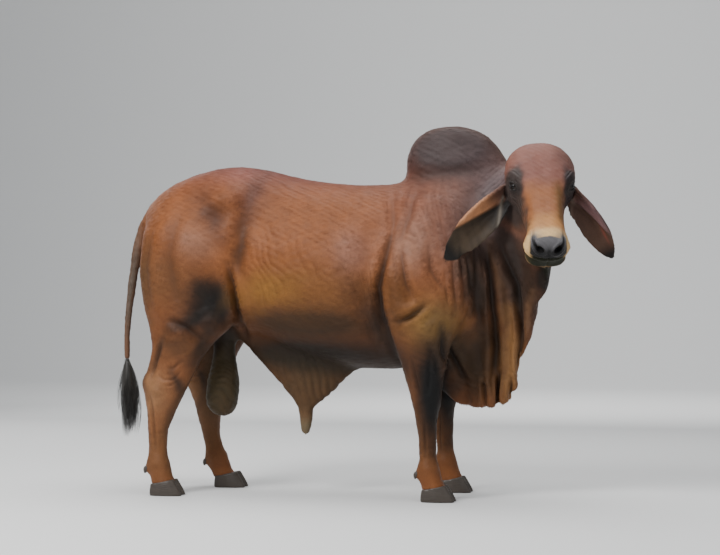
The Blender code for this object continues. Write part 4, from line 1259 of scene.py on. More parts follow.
@dataclass
class Skin:
    """The one skin that stands in for all the nodes of flesh."""

    voxel: float = 0.006
    join_up: float = 0.0008
    finder: EarFinder | None = None
    ears: EarShares = field(default_factory=dict)
    colour: Rows | None = None
    folds: Rows | None = None
    coat_depth: float = 0.0026
    ear_depth: float = 0.0004
    tail: Line = ((-0.96, 1.215), (-1.005, 0.98), (-1.029, 0.73), (-1.029, 0.56))
    swells: tuple[Swell, ...] = tuple(Swell(*row) for row in (
        ((-0.45, 0.27, 1.34), (0.05, 0.1, 0.05), 0.01),
        ((-0.374, 0.25, 1.383), (0.045, 0.1, 0.055), -0.012),
        ((-0.532, 0.28, 1.263), (0.05, 0.1, 0.05), -0.014),
        ((-0.62, 0.3, 1.11), (0.11, 0.1, 0.09), 0.018),
        ((-0.77, 0.24, 1.17), (0.06, 0.1, 0.08), 0.01),
        ((-0.577, 0.3, 0.87), (0.06, 0.1, 0.075), -0.018),
        ((-0.8, 0.27, 0.98), (0.06, 0.08, 0.14), 0.014),
        ((-0.54, 0.26, 0.76), (0.06, 0.08, 0.045), 0.014),
        ((-0.425, 0.2, 0.745), (0.07, 0.12, 0.04), 0.016),
        ((-0.722, 0.25, 0.705), (0.055, 0.08, 0.045), 0.016),
        ((-0.66, 0.27, 0.64), (0.04, 0.08, 0.05), 0.008),
        ((-0.872, 0.2, 0.512), (0.026, 0.05, 0.034), 0.013),
        ((-0.775, 0.2, 0.5), (0.03, 0.05, 0.034), 0.011),
        ((-0.815, 0.25, 0.47), (0.022, 0.04, 0.026), 0.009),
        ((-0.8, 0.25, 0.56), (0.02, 0.04, 0.04), -0.007),
        ((0.3, 0.33, 0.95), (0.05, 0.09, 0.11), 0.02),
        ((0.35, 0.33, 0.85), (0.09, 0.08, 0.03), 0.014),
        ((0.455, 0.31, 0.76), (0.055, 0.08, 0.05), 0.018),
        ((0.41, 0.3, 1.05), (0.04, 0.08, 0.14), 0.012),
        ((0.5, 0.28, 0.93), (0.05, 0.08, 0.07), 0.012),
        ((0.33, 0.25, 1.32), (0.035, 0.08, 0.1), 0.01),
        ((0.21, 0.3, 0.76), (0.04, 0.1, 0.07), -0.012),
        ((0.395, 0.26, 0.62), (0.04, 0.06, 0.075), 0.01),
        ((0.674, 0.1, 0.425), (0.024, 0.1, 0.03), 0.01),
        ((0.731, 0.1, 0.44), (0.024, 0.1, 0.03), 0.016),
        ((0.6, 0.1, 0.44), (0.04, 0.1, 0.03), 0.008),
        ((0.425, 0.2, 0.425), (0.042, 0.06, 0.03), 0.009),
        ((0.385, 0.2, 0.445), (0.02, 0.05, 0.024), 0.008),
        ((0.435, 0.2, 0.375), (0.034, 0.06, 0.02), 0.005),
        ((0.435, 0.2, 0.15), (0.04, 0.07, 0.026), 0.006),
        ((-0.8, 0.2, 0.15), (0.04, 0.07, 0.026), 0.006),
        ((-0.64, 0.2, 0.15), (0.04, 0.07, 0.026), 0.006),
        ((0.15, 0.105, -0.01), (0.05, 0.03, 0.026), 0.006, True),
        ((0.235, 0.11, -0.05), (0.018, 0.03, 0.05), -0.006, True),
        ((0.11, 0.135, -0.11), (0.05, 0.04, 0.036), -0.008, True),
        ((0.15, 0.09, -0.2), (0.085, 0.04, 0.055), 0.008, True),
        ((0.3, 0.052, -0.03), (0.11, 0.014, 0.03), 0.005, True),
        ((0.3, 0.0, -0.005), (0.12, 0.02, 0.02), -0.003, True),
        ((0.13, 0.0, 0.02), (0.07, 0.026, 0.04), -0.004, True),
        ((0.33, 0.075, -0.12), (0.07, 0.02, 0.012), 0.005, True),
        ((0.5, 0.0, -0.19), (0.06, 0.05, 0.04), 0.006, True),
        ((0.495, 0.05, -0.165), (0.07, 0.034, 0.04), 0.032, True),
        ((0.49, 0.095, -0.105), (0.05, 0.03, 0.035), 0.016, True),
        ((0.49, 0.07, -0.145), (0.06, 0.03, 0.03), 0.012, True),
    ))
    creases: tuple[Crease, ...] = tuple(Crease(*row) for row in (
        (((0.268, 1.16), (0.216, 0.94), (0.228, 0.812), (0.285, 0.6)), 0.017, 0.019),
        (((0.285, 0.78), (0.36, 0.812), (0.44, 0.87)), 0.014, 0.016),
        (((0.318, 1.1), (0.345, 0.96), (0.378, 0.89)), 0.012, 0.011),
        (((0.44, 1.13), (0.455, 1.01), (0.53, 0.9)), 0.012, 0.01),
        (((0.36, 1.38), (0.345, 1.25), (0.3, 1.12)), 0.016, 0.008),
        (((0.25, 1.36), (0.275, 1.23), (0.262, 1.1)), 0.014, 0.006),
        (((0.498, 0.78), (0.5, 0.65), (0.56, 0.52)), 0.014, 0.018),
        (((0.44, 0.69), (0.47, 0.62), (0.46, 0.54)), 0.01, 0.008),
        (((-0.45, 0.72), (-0.44, 0.84), (-0.452, 0.94), (-0.48, 1.04)), 0.015, 0.019, 0.9),
        (((-0.405, 1.28), (-0.415, 1.12), (-0.44, 0.98)), 0.034, 0.013),
        (((-0.59, 0.69), (-0.665, 0.76), (-0.76, 0.8)), 0.016, 0.014),
        (((-0.7, 1.28), (-0.735, 1.08), (-0.7, 0.86)), 0.026, 0.008),
        (((-0.83, 1.22), (-0.86, 1.02), (-0.82, 0.8)), 0.018, 0.006),
        (((-0.785, 0.7), (-0.822, 0.61), (-0.84, 0.54)), 0.012, 0.014),
        (((-0.69, 0.61), (-0.735, 0.575), (-0.765, 0.58)), 0.007, 0.0045),
        (((-0.7, 0.56), (-0.735, 0.525), (-0.78, 0.525), (-0.8, 0.54)), 0.006, 0.005),
        (((-0.715, 0.52), (-0.75, 0.498), (-0.772, 0.502)), 0.005, 0.0035),
        (((-0.85, 0.47), (-0.835, 0.38), (-0.822, 0.2)), 0.007, 0.006, 0.6, (Side.RIGHT,)),
        (((-0.69, 0.47), (-0.672, 0.38), (-0.66, 0.2)), 0.007, 0.006, 0.6, (Side.LEFT,)),
        (((0.412, 0.37), (0.41, 0.28), (0.412, 0.18)), 0.006, 0.006, 0.6),
        (((0.36, 0.64), (0.38, 0.54), (0.395, 0.46)), 0.008, 0.007),
        (((0.44, 0.66), (0.44, 0.56), (0.43, 0.48)), 0.008, 0.007),
        (((0.655, 1.15), (0.698, 1.0), (0.704, 0.8), (0.69, 0.44)), 0.018, 0.022, 0.6),
        (((0.73, 1.14), (0.812, 0.95), (0.824, 0.7), (0.796, 0.44)), 0.014, 0.018, 0.6),
        (((0.61, 1.06), (0.64, 0.9), (0.64, 0.74)), 0.018, 0.014),
        (((0.712, 0.56), (0.706, 0.49), (0.698, 0.4)), 0.009, 0.022, 0.9),
        (((0.768, 0.54), (0.764, 0.48), (0.752, 0.4)), 0.008, 0.02, 0.9),
        (((0.64, 0.54), (0.648, 0.48), (0.65, 0.4)), 0.009, 0.018, 0.9),
        (((0.79, 0.9), (0.815, 0.78), (0.8, 0.56)), 0.01, 0.014),
        (((0.575, 1.14), (0.59, 0.98), (0.6, 0.84)), 0.009, 0.012),
        (((0.62, 1.18), (0.645, 1.02), (0.66, 0.86)), 0.009, 0.012),
        (((0.545, 1.08), (0.552, 0.96), (0.56, 0.84)), 0.008, 0.009),
        (((0.515, 1.02), (0.52, 0.93), (0.528, 0.85)), 0.007, 0.006),
        (((0.3, 1.43), (0.42, 1.445), (0.56, 1.455), (0.69, 1.47)), 0.03, 0.008),
    ))
    pleats: tuple[Pleats, ...] = tuple(Pleats(*row) for row in (
        ((0.73, 0.16, 1.4), (0.08, 0.14, 0.085), 0.018, 0.0042, (0.72, 0.0, -0.7), 11, 0.22),
        ((0.62, 0.2, 1.06), (0.11, 0.16, 0.19), 0.034, 0.007, (1.0, 0.5, 0.1), 12, 0.45),
        ((0.7, 0.08, 0.66), (0.14, 0.16, 0.24), 0.06, 0.005, (1.0, -0.4, 0.0), 13, 0.7),
        ((0.0, 0.32, 1.12), (0.33, 0.2, 0.19), 0.05, 0.001, (1.0, 0.0, 0.22), 14, 1.2),
        ((-0.06, 0.3, 1.06), (0.33, 0.2, 0.17), 0.12, 0.0015, (1.0, 0.0, 0.3), 24, 0.5),
        ((0.19, 0.3, 0.9), (0.05, 0.2, 0.16), 0.022, 0.0034, (1.0, 0.0, 0.15), 15, 0.6),
        ((0.52, 0.24, 1.24), (0.14, 0.2, 0.17), 0.05, 0.003, (1.0, 0.0, 0.3), 16, 0.8),
        ((0.46, 0.22, 0.62), (0.09, 0.16, 0.07), 0.026, 0.0044, (0.25, 0.0, 1.0), 17, 0.6),
        ((0.6, 0.1, 0.52), (0.09, 0.16, 0.06), 0.028, 0.005, (0.3, 0.0, 1.0), 25, 0.7),
        ((-0.15, 0.06, 0.52), (0.2, 0.12, 0.13), 0.038, 0.0046, (1.0, 0.0, 0.2), 18, 0.7),
        ((-0.58, 0.0, 0.48), (0.11, 0.14, 0.2), 0.026, 0.0036, (0.5, 0.6, 0.8), 19, 1.8),
        ((-0.44, 0.2, 0.8), (0.07, 0.14, 0.09), 0.03, 0.004, (0.9, 0.0, 0.45), 26, 0.5),
        ((-0.3, 0.28, 1.0), (0.12, 0.2, 0.16), 0.036, 0.0022, (0.85, 0.0, 0.5), 27, 1.1),
    ))
    furrows: tuple[Furrow, ...] = tuple(Furrow(*row) for row in (
        (((0.105, 0.14, -0.05), (0.14, 0.125, -0.018), (0.18, 0.105, -0.002), (0.215, 0.085, -0.012)),
         0.011, -0.007, 0.0),
        (((0.12, 0.146, -0.062), (0.15, 0.132, -0.03), (0.185, 0.114, -0.014), (0.22, 0.095, -0.022)),
         0.0032, 0.005),
        (((0.11, 0.14, -0.03), (0.145, 0.118, -0.006), (0.185, 0.095, 0.002)), 0.003, 0.0035),
        (((0.16, 0.14, -0.085), (0.205, 0.128, -0.088), (0.245, 0.106, -0.072)), 0.0034, 0.005),
        (((0.165, 0.138, -0.105), (0.215, 0.124, -0.108), (0.265, 0.1, -0.09)), 0.0038, 0.0045),
        (((0.235, 0.105, -0.06), (0.275, 0.088, -0.072), (0.33, 0.078, -0.085)), 0.005, 0.005),
        (((0.24, 0.12, -0.13), (0.3, 0.1, -0.125), (0.37, 0.085, -0.125)), 0.008, -0.007, 0.0),
        (((0.455, 0.088, -0.05), (0.485, 0.09, -0.085), (0.5, 0.084, -0.12)), 0.005, 0.004),
        (((0.5, 0.078, -0.02), (0.52, 0.078, -0.05), (0.53, 0.074, -0.085)), 0.0035, 0.0035),
        (((0.05, 0.03, 0.02), (0.11, 0.045, 0.01), (0.17, 0.04, 0.0), (0.23, 0.05, -0.005)),
         0.0035, -0.0022, 0.0),
        (((0.24, 0.06, -0.012), (0.32, 0.064, -0.03), (0.4, 0.07, -0.045)), 0.005, -0.0028, 0.0),
        (((0.405, 0.095, -0.135), (0.43, 0.092, -0.118), (0.46, 0.09, -0.112)), 0.004, 0.0045),
    ))

    def flesh_nodes(self) -> list[str]:
        """The nodes that the skin stands in for."""
        apart = ("eye", "claw", "tail_switch")
        return [name for name in sorted(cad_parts) if not name.startswith(apart)]

    def build(self) -> Piece:
        """Join the flesh, blend its cuts away and model the skin's detail."""
        work = node_copy(self.flesh_nodes(), self.join_up)
        for side in Side:
            made = bmesh.ops.create_uvsphere(work, u_segments=24, v_segments=14, radius=EYE.radius + 0.003)
            centre = Vector(EYE.outside(np.zeros((1, 3)), side)[0] + ORIGIN)
            bmesh.ops.translate(work, verts=made["verts"], vec=centre)
        skin = remeshed(add_object("skin", smooth_mesh("skin", work)), self.voxel)
        self.finder = EarFinder(self.flesh_nodes())
        self.keep_outer(skin.data)
        self.smooth_body(skin.data)
        self.refine(skin.data)
        self.shape(skin.data)
        self.paint(skin.data)
        skin.data.shade_smooth()
        return skin

    def keep_outer(self, mesh: Mesh) -> None:
        """Drop every closed surface but the largest."""
        work = working_copy(mesh)
        left = np.ones(len(work.verts), bool)
        best: list[int] = []
        for start in range(len(work.verts)):
            if not left[start]:
                continue
            left[start] = False
            shell, front = [start], [work.verts[start]]
            while front:
                vertex = front.pop()
                for edge in vertex.link_edges:
                    other = edge.other_vert(vertex)
                    if left[other.index]:
                        left[other.index] = False
                        shell.append(other.index)
                        front.append(other)
            best = max(best, shell, key=len)
        kept = np.zeros(len(work.verts), bool)
        kept[best] = True
        loose = [vertex for vertex in work.verts if not kept[vertex.index]]
        bmesh.ops.delete(work, geom=loose, context="VERTS")
        work.to_mesh(mesh)
        work.free()

    def smooth_body(self, mesh: Mesh) -> None:
        """Blend the cuts and facets away, least on the head, ears and feet."""
        surface = SurfaceMesh(mesh)
        places = surface.places()
        face = nearness(HEAD.inside(places), (0.26, 0.0, -0.08), (0.26, 0.26, 0.26))
        weights = np.clip(1 - 1.5 * face, 0.06, 1) * (1 - 0.85 * ramp(places[:, 2], 0.85, 0.45))
        near, away, _ = from_line(places[:, (0, 2)], self.tail, 0.05)
        weights[near] *= 0.03 + 0.97 * np.maximum(ramp(away, 0.035, 0.05), ramp(places[near, 2], 1.13, 1.24))
        for share in self.finder.shares(places).values():
            weights *= 1 - 0.78 * share
        surface.soften(weights, 90)
        surface.soften(np.full(len(places), 0.8), 2)

    def refine(self, mesh: Mesh) -> None:
        """Give the head smaller quads, and the eyes, nose and mouth smaller ones still."""
        for level in range(2):
            places = SurfaceMesh(mesh).places()
            head = HEAD.inside(places)
            if level == 0:
                near = (np.abs(head - (0.3, 0.0, -0.085)) < (0.32, 0.19, 0.165)).all(1)
                near |= sum(self.finder.shares(places).values()) > 0.5
            else:
                near = nearness(head, (0.56, 0.0, -0.07), (0.055, 0.085, 0.07)) > 0.37
                for side in Side:
                    near |= EYE.around(head, side)[1] < 0.042
            work = working_copy(mesh)
            chosen = [edge for edge in work.edges if all(near[vertex.index] for vertex in edge.verts)]
            bmesh.ops.subdivide_edges(work, edges=chosen, cuts=1, use_grid_fill=True, smooth=0.6)
            work.to_mesh(mesh)
            work.free()

    def shape(self, mesh: Mesh) -> None:
        """Model muscles, folds and the details of the head, then sink the skin under its coat."""
        surface = SurfaceMesh(mesh)
        self.ears = self.finder.shares(surface.places())
        on_ears = sum(self.ears.values())
        surface.soften(0.9 * on_ears, 50, 1.05)
        surface.soften(0.9 * on_ears, 10)
        places, ways = surface.places(), surface.ways()
        head = HEAD.inside(places)
        twin, twin_head = mirrored(places), mirrored(head)
        calm = 1 - ramp(nearness(head, (0.25, 0.0, -0.05), (0.26, 0.16, 0.16)), 0.15, 0.5)
        self.folds = sum(crease.lift(places, ways) for crease in self.creases)
        self.folds += sum(furrow.lift(twin_head) for furrow in self.furrows)
        self.folds += sum(pleats.lift(places) for pleats in self.pleats) * calm
        lift = self.folds.copy()
        for swell in self.swells:
            lift += swell.rise * nearness(twin_head if swell.on_head else twin, swell.place, swell.sizes)
        near, away, _ = from_line(places[:, (0, 2)], self.tail, 0.05)
        lift[near] += 0.003 * ramp(away, 0.045, 0.03)
        lift += 0.0006 * cloudiness(places, 0.03, 21) + 0.0012 * cloudiness(places, 0.11, 22) * calm
        depth = np.full(len(places), self.coat_depth)
        for side, ear in EARS.items():
            share = self.ears[side]
            depth += share * (self.ear_depth - depth)
            relief = self.ear_relief(places, ways, ear)[:, None]
            for _ in range(10):
                relief += 0.7 * (surface.neighbour_mean(relief) - relief)
            lift += share * (relief[:, 0] - lift)
        face = nearness(head, (0.4, 0.0, -0.08), (0.24, 0.16, 0.18))
        depth *= 1 - 0.6 * np.minimum(1.3 * face, 1)
        surface.put(places + (lift - depth)[:, None] * ways)
        surface.soften(np.full(len(places), 0.4), 1)
        surface.soften(0.8 * on_ears, 14, 1.0)
        places, ways = surface.places(), surface.ways()
        head = self.carve_muzzle(HEAD.inside(places), ways @ HEAD.columns())
        head[:, 2] += self.chin_rise(head)
        foot = ramp(places[:, 2], 0.125, 0.095)[:, None]
        places = HEAD.outside(self.carve_eyes(head)) + foot * (0.003 * ways * (1, 1, 0) - (0, 0, 0.012))
        places[:, 2] = np.maximum(places[:, 2], 0.001 - ORIGIN[2])
        surface.put(places)

    def chin_rise(self, head: Rows) -> Rows:
        """How far the chin draws up towards the lips.

        Args:
            head: Places in the head's axes.

        Returns:
            Metres out of the face.
        """
        along, aside, out = head.T
        near = ramp(along, 0.4, 0.48) * ramp(np.abs(aside), 0.14, 0.1) * ramp(out, -0.34, -0.22)
        return 0.72 * np.maximum(-0.155 - out, 0) * near * ramp(along, 0.66, 0.62)

    def ear_relief(self, places: Rows, ways: Rows, ear: EarPlace) -> Rows:
        """The rolled upper margin, the folds of the hollow and the thin rim of an ear.

        Args:
            places: Places of the animal.
            ways: The way out of the skin at each.
            ear: Where the ear lies.

        Returns:
            Metres outwards.
        """
        along, across = ear.measure(places)
        upper = across * ear.upper
        beyond = upper - ear.fold(along)
        roll = ramp(beyond, -0.1, 0.1) * ramp(along, 0.85, 0.6) * ramp(along, 0.02, 0.12)
        lift = 0.01 * roll * ramp(upper, 1.05, 0.8)
        lift -= 0.006 * bell(beyond + 0.16, 0.14) * ramp(along, 0.9, 0.6)
        strip = ramp(along, 0.14, 0.2) * ramp(along, 0.56, 0.44)
        lift += 0.006 * bell(ear.strip(along, upper), 0.008) * strip
        for middle in (-0.25, 0.1):
            lift += 0.0025 * bell(upper - middle, 0.07) * ramp(along, 0.1, 0.25) * ramp(along, 0.75, 0.5)
        return lift * ramp(ways @ ear.facing(), 0.0, 0.4) + 0.0006 * cloudiness(places, 0.05, 31)

    def carve_muzzle(self, head: Rows, ways: Rows) -> Rows:
        """Nostrils, the line of the mouth, lips and chin.

        Args:
            head: Places in the head's axes.
            ways: The way out at each, in the same axes.

        Returns:
            The moved places.
        """
        moved = head.copy()
        along, aside, out = head.T
        for side in Side:
            local = head - np.array((0.548, 0.038 * side.value, -0.04))
            right, up = local[:, 1] * side.value, local[:, 2]
            shape = np.hypot(right / 0.016, (up - 0.2 * right) / 0.012)
            reach = np.clip((right * 0.83 + up * 0.55) / 0.036, 0, 1)
            bend = np.hypot(right - 0.03 * reach, up - 0.02 * reach**1.6)
            tail = bend / (0.0085 - 0.0035 * reach)
            near = bell(local[:, 0], 0.055)
            hole = np.maximum(ramp(shape, 1.2, 0.72), 0.65 * ramp(tail, 1.25, 0.6)) * near
            wing = bell(np.minimum(shape, tail) - 1.7, 0.42) * near
            moved += (0.034 * hole)[:, None] * np.array((-0.88, -0.16 * side.value, -0.44))
            moved += (0.005 * wing)[:, None] * ways
        groove = bell(aside, 0.0035) * ramp(along, 0.52, 0.56) * ramp(out, -0.03, -0.06)
        below = out + 0.086 + 0.26 * (0.56 - along)
        lips = 0.0035 * bell(below - 0.013, 0.01) + 0.003 * bell(below + 0.011, 0.008)
        lips = ramp(along, 0.4, 0.445) * (lips - 0.009 * bell(below, 0.0036))
        return moved + (lips - 0.003 * groove)[:, None] * ways

    def carve_eyes(self, head: Rows) -> Rows:
        """Open the lids over each eye and fold the skin round them.

        Args:
            head: Places in the head's axes.

        Returns:
            The moved places.
        """
        moved = head.copy()
        for side in Side:
            middle, axes = EYE.axes(side)
            local = (moved - middle) @ axes
            away = np.linalg.norm(local, axis=1)
            near = (away < 0.075) & (local[:, 2] > 0.001)
            part, reach = local[near], away[near]
            along, rise, _ = part.T
            ring = np.sqrt((np.abs(along) / EYE.half_long) ** 1.7 + (np.abs(rise) / EYE.half_high) ** 2)
            opened = ramp(ring, 1.1, 0.96)
            lid = bell(ring - 1.3, 0.28)
            upper = rise > 0
            bend = ring + 0.1 * np.sin(along * 240) + 0.06 * np.sin(rise * 310 + along * 150)
            fold = bell(bend - 1.8, 0.13) * (0.5 + 0.5 * upper) + 0.9 * bell(bend - 2.35, 0.13)
            fold += bell(bend - 2.9, 0.15) * (0.8 - 0.24 * upper)
            fold += bell(bend - 3.5, 0.18) * (0.6 - 0.36 * upper)
            wanted = np.maximum(reach, EYE.radius + 0.0022 + 0.0012 * lid)
            wanted += 0.003 * lid * (0.6 + 0.8 * upper) - 0.0034 * fold * ramp(ring, 6.0, 3.5)
            radius = wanted * (1 - opened) + (EYE.radius - 0.0045) * opened
            radius = reach + (radius - reach) * np.maximum(ramp(reach, 0.073, 0.05), opened)
            moved[near] = middle + (part * (radius / reach)[:, None]) @ axes.T
        return moved

    def paint(self, mesh: Mesh) -> None:
        """Store the markings on the skin, with painted shade in the creases and faint painted highlights on
        the fold lips.
        """
        surface = SurfaceMesh(mesh)
        ways = surface.ways()
        for _ in range(6):
            ways = unit(0.4 * ways + 0.6 * surface.neighbour_mean(ways))
        self.colour, kind = MARKINGS_AND_SHADE.at(surface.places(), ways, self.ears)
        # painted shade in creases, furrows and pleats, and a faint painted highlight on their raised lips
        self.colour *= (1 + 0.42 * np.clip(self.folds / 0.01, -1.6, 0.35))[:, None]
        put_colours(mesh, "markings", self.colour)
        put_colours(mesh, "kind", kind)

    def dress(self, skin: Piece, effects: Effects) -> None:
        """Give the skin its finish and its place in the frame."""
        finish_with(skin, HideFinish().material("hide", effects, True))
        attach(skin, "root")
        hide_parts(*self.flesh_nodes())


@dataclass(frozen=True)
class HairSize:
    """The size and number of the tufts of one region of the coat."""

    count: int
    length: float
    width: float
    lift: float


@dataclass(frozen=True)
class Roots:
    """Where tufts grow: their places, the way out, the skin's colour and the share of each ear."""

    places: Rows
    outward: Rows
    tints: Rows
    ears: EarShares


@dataclass
class Coat:
    """The short coat as small solid tufts that lie along the body."""

    seed: int = 41
    sizes: dict[Lie, HairSize] = field(
        default_factory=lambda: {
            Lie.FACE: HairSize(33000, 0.0075, 0.0009, 0.0007),
            Lie.NECK: HairSize(20000, 0.018, 0.0012, 0.0004),
            Lie.FORE: HairSize(25000, 0.019, 0.0013, 0.0005),
            Lie.BARREL: HairSize(28000, 0.02, 0.0014, 0.0006),
            Lie.HIND: HairSize(29000, 0.019, 0.0013, 0.0006),
            Lie.LEGS: HairSize(24000, 0.012, 0.0011, 0.0008),
            Lie.UNDER: HairSize(15000, 0.011, 0.0013, 0.0011),
        }
    )

    def regions(self, places: Rows, on_ear: Rows) -> Rows:
        """Which region each place belongs to.

        Args:
            places: Places of the animal.
            on_ear: Which places are on an ear.

        Returns:
            One index into the kinds of lie for each place.
        """
        along, wide, out = mirrored(HEAD.inside(places)).T
        x, y, z = places.T
        under = (z < 0.78) & (x > -0.52) & (x < 0.16) | (x > 0.52) & (z < 0.75)
        under |= (np.abs(y) < 0.1) & (x < -0.4) & (z < 0.74)
        zones = {
            Lie.FORE: x > 0.23,
            Lie.HIND: x < -0.42,
            Lie.NECK: (x > 0.6) & (z > 0.75),
            Lie.LEGS: z < 0.7,
            Lie.UNDER: under,
            Lie.FACE: (along > -0.06) & (wide < 0.2) & (out > -0.245) | on_ear,
        }
        order = list(Lie)
        found = np.full(len(places), order.index(Lie.BARREL))
        for kind, zone in zones.items():
            found[zone] = order.index(kind)
        return found

    def lie(self, places: Rows, ways: Rows, ears: EarShares) -> Rows:
        """The way the hair points at each place.

        Args:
            places: Places of the animal.
            ways: The way out of the skin at each.
            ears: How far each place belongs to each ear.

        Returns:
            Unit rows along the skin.
        """
        x, _, z = places.T
        head = HEAD.inside(places)
        trunk = np.tile((-0.8, 0.0, -0.42), (len(places), 1))
        trunk[:, 2] -= 1.2 * ramp(z, 0.85, 0.6)
        trunk[:, 0] *= ramp(z, 0.45, 0.75)
        lay(trunk, 1.4 * nearness(places, (0.72, -0.05, 0.75), (0.2, 0.25, 0.4)), (0.0, 0.0, -1.0))
        face = (head[:, 0] > -0.08) & (np.abs(head[:, 1]) < 0.22) & (head[:, 2] > -0.26)
        away = head - np.array((0.1, 0.0, 0.0))
        whorl = unit(away * (1, 1.2, 0.4)) + np.array((0.75, 0, 0)) * ramp(head[:, 0], 0.1, 0.3)[:, None]
        trunk = np.where(face[:, None], whorl @ HEAD.columns().T, trunk)
        for side, ear in EARS.items():
            trunk[ears[side] > 0.5] = ear.axis()
        trunk[(x < -0.93) & (z < 1.25)] = (0.0, 0.0, -1.0)
        return unit(trunk - (trunk * ways).sum(1)[:, None] * ways)

    def unwrapped(self, kind: Lie, roots: Roots) -> Rows:
        """The skin of a region rolled out flat.

        Args:
            kind: The region.
            roots: Where its tufts grow.

        Returns:
            Rows of two shares between 0 and 1.
        """
        x, y, z = roots.places.T
        if kind is Lie.FACE:
            head = HEAD.inside(roots.places)
            share = turned(head[:, 1], head[:, 2] + 0.1)
            flat = np.stack([0.02 + 0.66 * share, (head[:, 0] + 0.1) / 0.72], 1)
            for column, (side, ear) in enumerate(EARS.items()):
                along, across = ear.measure(roots.places)
                near = roots.ears[side] > 0.5
                hollow = (roots.outward @ ear.facing() > 0) * 0.5
                strip = np.stack([0.76 + 0.12 * column + across * 0.04, hollow + along * 0.42 + 0.02], 1)
                flat[near] = strip[near]
        elif kind is Lie.LEGS:
            column = (x > 0) * 2 + (y > 0) * 1
            foot = np.where(x > 0, 0.45, np.where(y > 0, -0.64, -0.8))
            share = turned(y - np.sign(y) * 0.2, x - foot)
            flat = np.stack([(column + 0.04 + 0.92 * share) / 4, z / 0.75], 1)
        elif kind is Lie.UNDER:
            flat = np.stack([turned(y, z - 0.45), (x + 0.75) / 1.8], 1)
        else:
            flat = np.stack([turned(y, z - 1.05), (x + 1.1) / 2.4], 1)
        return np.clip(flat, 0.004, 0.996)

    def build(self, skin: Piece, maker: Skin) -> dict[Lie, Piece]:
        """Grow the tufts of every region.

        Args:
            skin: The finished skin.
            maker: What the skin's maker knows of its colours and ears.

        Returns:
            One object for each region.
        """
        surface = SurfaceMesh(skin.data)
        places, ways = surface.places(), surface.ways()
        skin.data.calc_loop_triangles()
        corners = read(skin.data.loop_triangles, "vertices", 3, np.int32)
        a, b, c = (places[corners[:, k]] for k in range(3))
        areas = np.linalg.norm(np.cross(b - a, c - a), axis=1) / 2
        middles = (a + b + c) / 3
        on_ear = sum(share[corners].mean(1) for share in maker.ears.values()) > 0.5
        zones = self.regions(middles, on_ear)
        head = HEAD.inside(middles)
        closed = MARKINGS_AND_SHADE.pad_mask(mirrored(head)) > 0.3
        for side in Side:
            opening, reach = EYE.around(head, side)
            closed |= (opening < 2.3) & (reach < 0.055)
        draw = np.random.default_rng(self.seed)
        coats = {}
        for index, kind in enumerate(Lie):
            size = self.sizes[kind]
            usable = np.flatnonzero((zones == index) & ~closed)
            picked = corners[draw.choice(usable, size.count, p=areas[usable] / areas[usable].sum())]
            share = draw.random((size.count, 2))
            share[share.sum(1) > 1] = 1 - share[share.sum(1) > 1]
            weights = np.column_stack([1 - share.sum(1), share])
            spots, outward, tints = (
                (rows[picked] * weights[:, :, None]).sum(1) for rows in (places, ways, maker.colour)
            )
            ears = {side: (share[picked] * weights).sum(1) for side, share in maker.ears.items()}
            coats[kind] = self.tufts(kind, Roots(spots, unit(outward), tints, ears), draw)
            log.info("coat %s: %d tufts", kind.value, size.count)
        return coats

    def tufts(self, kind: Lie, roots: Roots, draw: np.random.Generator) -> Piece:
        """One region's tufts as one mesh.

        Args:
            kind: The region.
            roots: Where the tufts grow.
            draw: The source of unevenness.

        Returns:
            The object.
        """
        size, outward = self.sizes[kind], roots.outward
        count = len(outward)
        points = self.lie(roots.places, outward, roots.ears)
        points = unit(points + draw.normal(0, 0.16, count)[:, None] * np.cross(outward, points))
        aside = np.cross(outward, points)
        length = size.length * draw.uniform(0.7, 1.25, count)[:, None]
        length *= 1 - 0.45 * sum(roots.ears.values())[:, None]
        width = size.width * draw.uniform(0.75, 1.2, count)[:, None]
        lift = size.lift * draw.uniform(0.6, 1.3, count)[:, None]
        belly = roots.places + points * length * 0.45 + outward * lift * 0.6
        tip = roots.places + points * length + outward * lift * 0.2
        start, ridge = roots.places - outward * 0.0006, belly + outward * width * 0.35
        rows = np.stack([start, belly + aside * width, ridge, belly - aside * width, tip], 1)
        faces = np.array(((0, 2, 1), (0, 3, 2), (0, 1, 3), (4, 1, 2), (4, 2, 3), (4, 3, 1)))
        every = (faces[None] + 5 * np.arange(count)[:, None, None]).reshape(-1, 3)
        mesh = bpy.data.meshes.new("coat_" + kind.value)
        mesh.vertices.add(count * 5)
        mesh.vertices.foreach_set("co", (rows + ORIGIN).astype(np.float32).ravel())
        mesh.loops.add(len(every) * 3)
        mesh.loops.foreach_set("vertex_index", every.astype(np.int32).ravel())
        mesh.polygons.add(len(every))
        mesh.polygons.foreach_set("loop_start", np.arange(0, len(every) * 3, 3, dtype=np.int32))
        mesh.update()
        mesh.shade_smooth()
        colour = roots.tints * draw.uniform(0.9, 1.12, count)[:, None]
        tone = np.array((0.9, 1.0, 1.03, 1.0, 1.06))[:, None]
        put_colours(mesh, "markings", (colour[:, None] * tone).reshape(-1, 3))
        spots = np.array(((-0.0015, 0), (0, 0.0015), (0.0003, 0), (0, -0.0015), (0.0015, 0)))
        put_unwrap(mesh, (self.unwrapped(kind, roots)[:, None] + spots).reshape(-1, 2))
        tilt = np.array((-0.1, 0.0, 0.0, 0.0, 0.12))[:, None] * points[:, None]
        sway = np.array((0.0, 0.15, 0.0, -0.15, 0.0))[:, None] * aside[:, None]
        soft = unit(outward[:, None] + tilt + sway)
        mesh.normals_split_custom_set_from_vertices(soft.reshape(-1, 3).tolist())
        return add_object("coat_" + kind.value, mesh)

    def dress(self, coats: dict[Lie, Piece], effects: Effects) -> None:
        """Give the tufts their finish and their place in the frame."""
        material = HideFinish(sheen=0.05).material("short coat", effects, False)
        for made in coats.values():
            finish_with(made, material)
            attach(made, "root")


@dataclass(frozen=True)
class Strand:
    """One lock's path and size."""

    path: Rows
    width: float
    flatness: float = 0.5


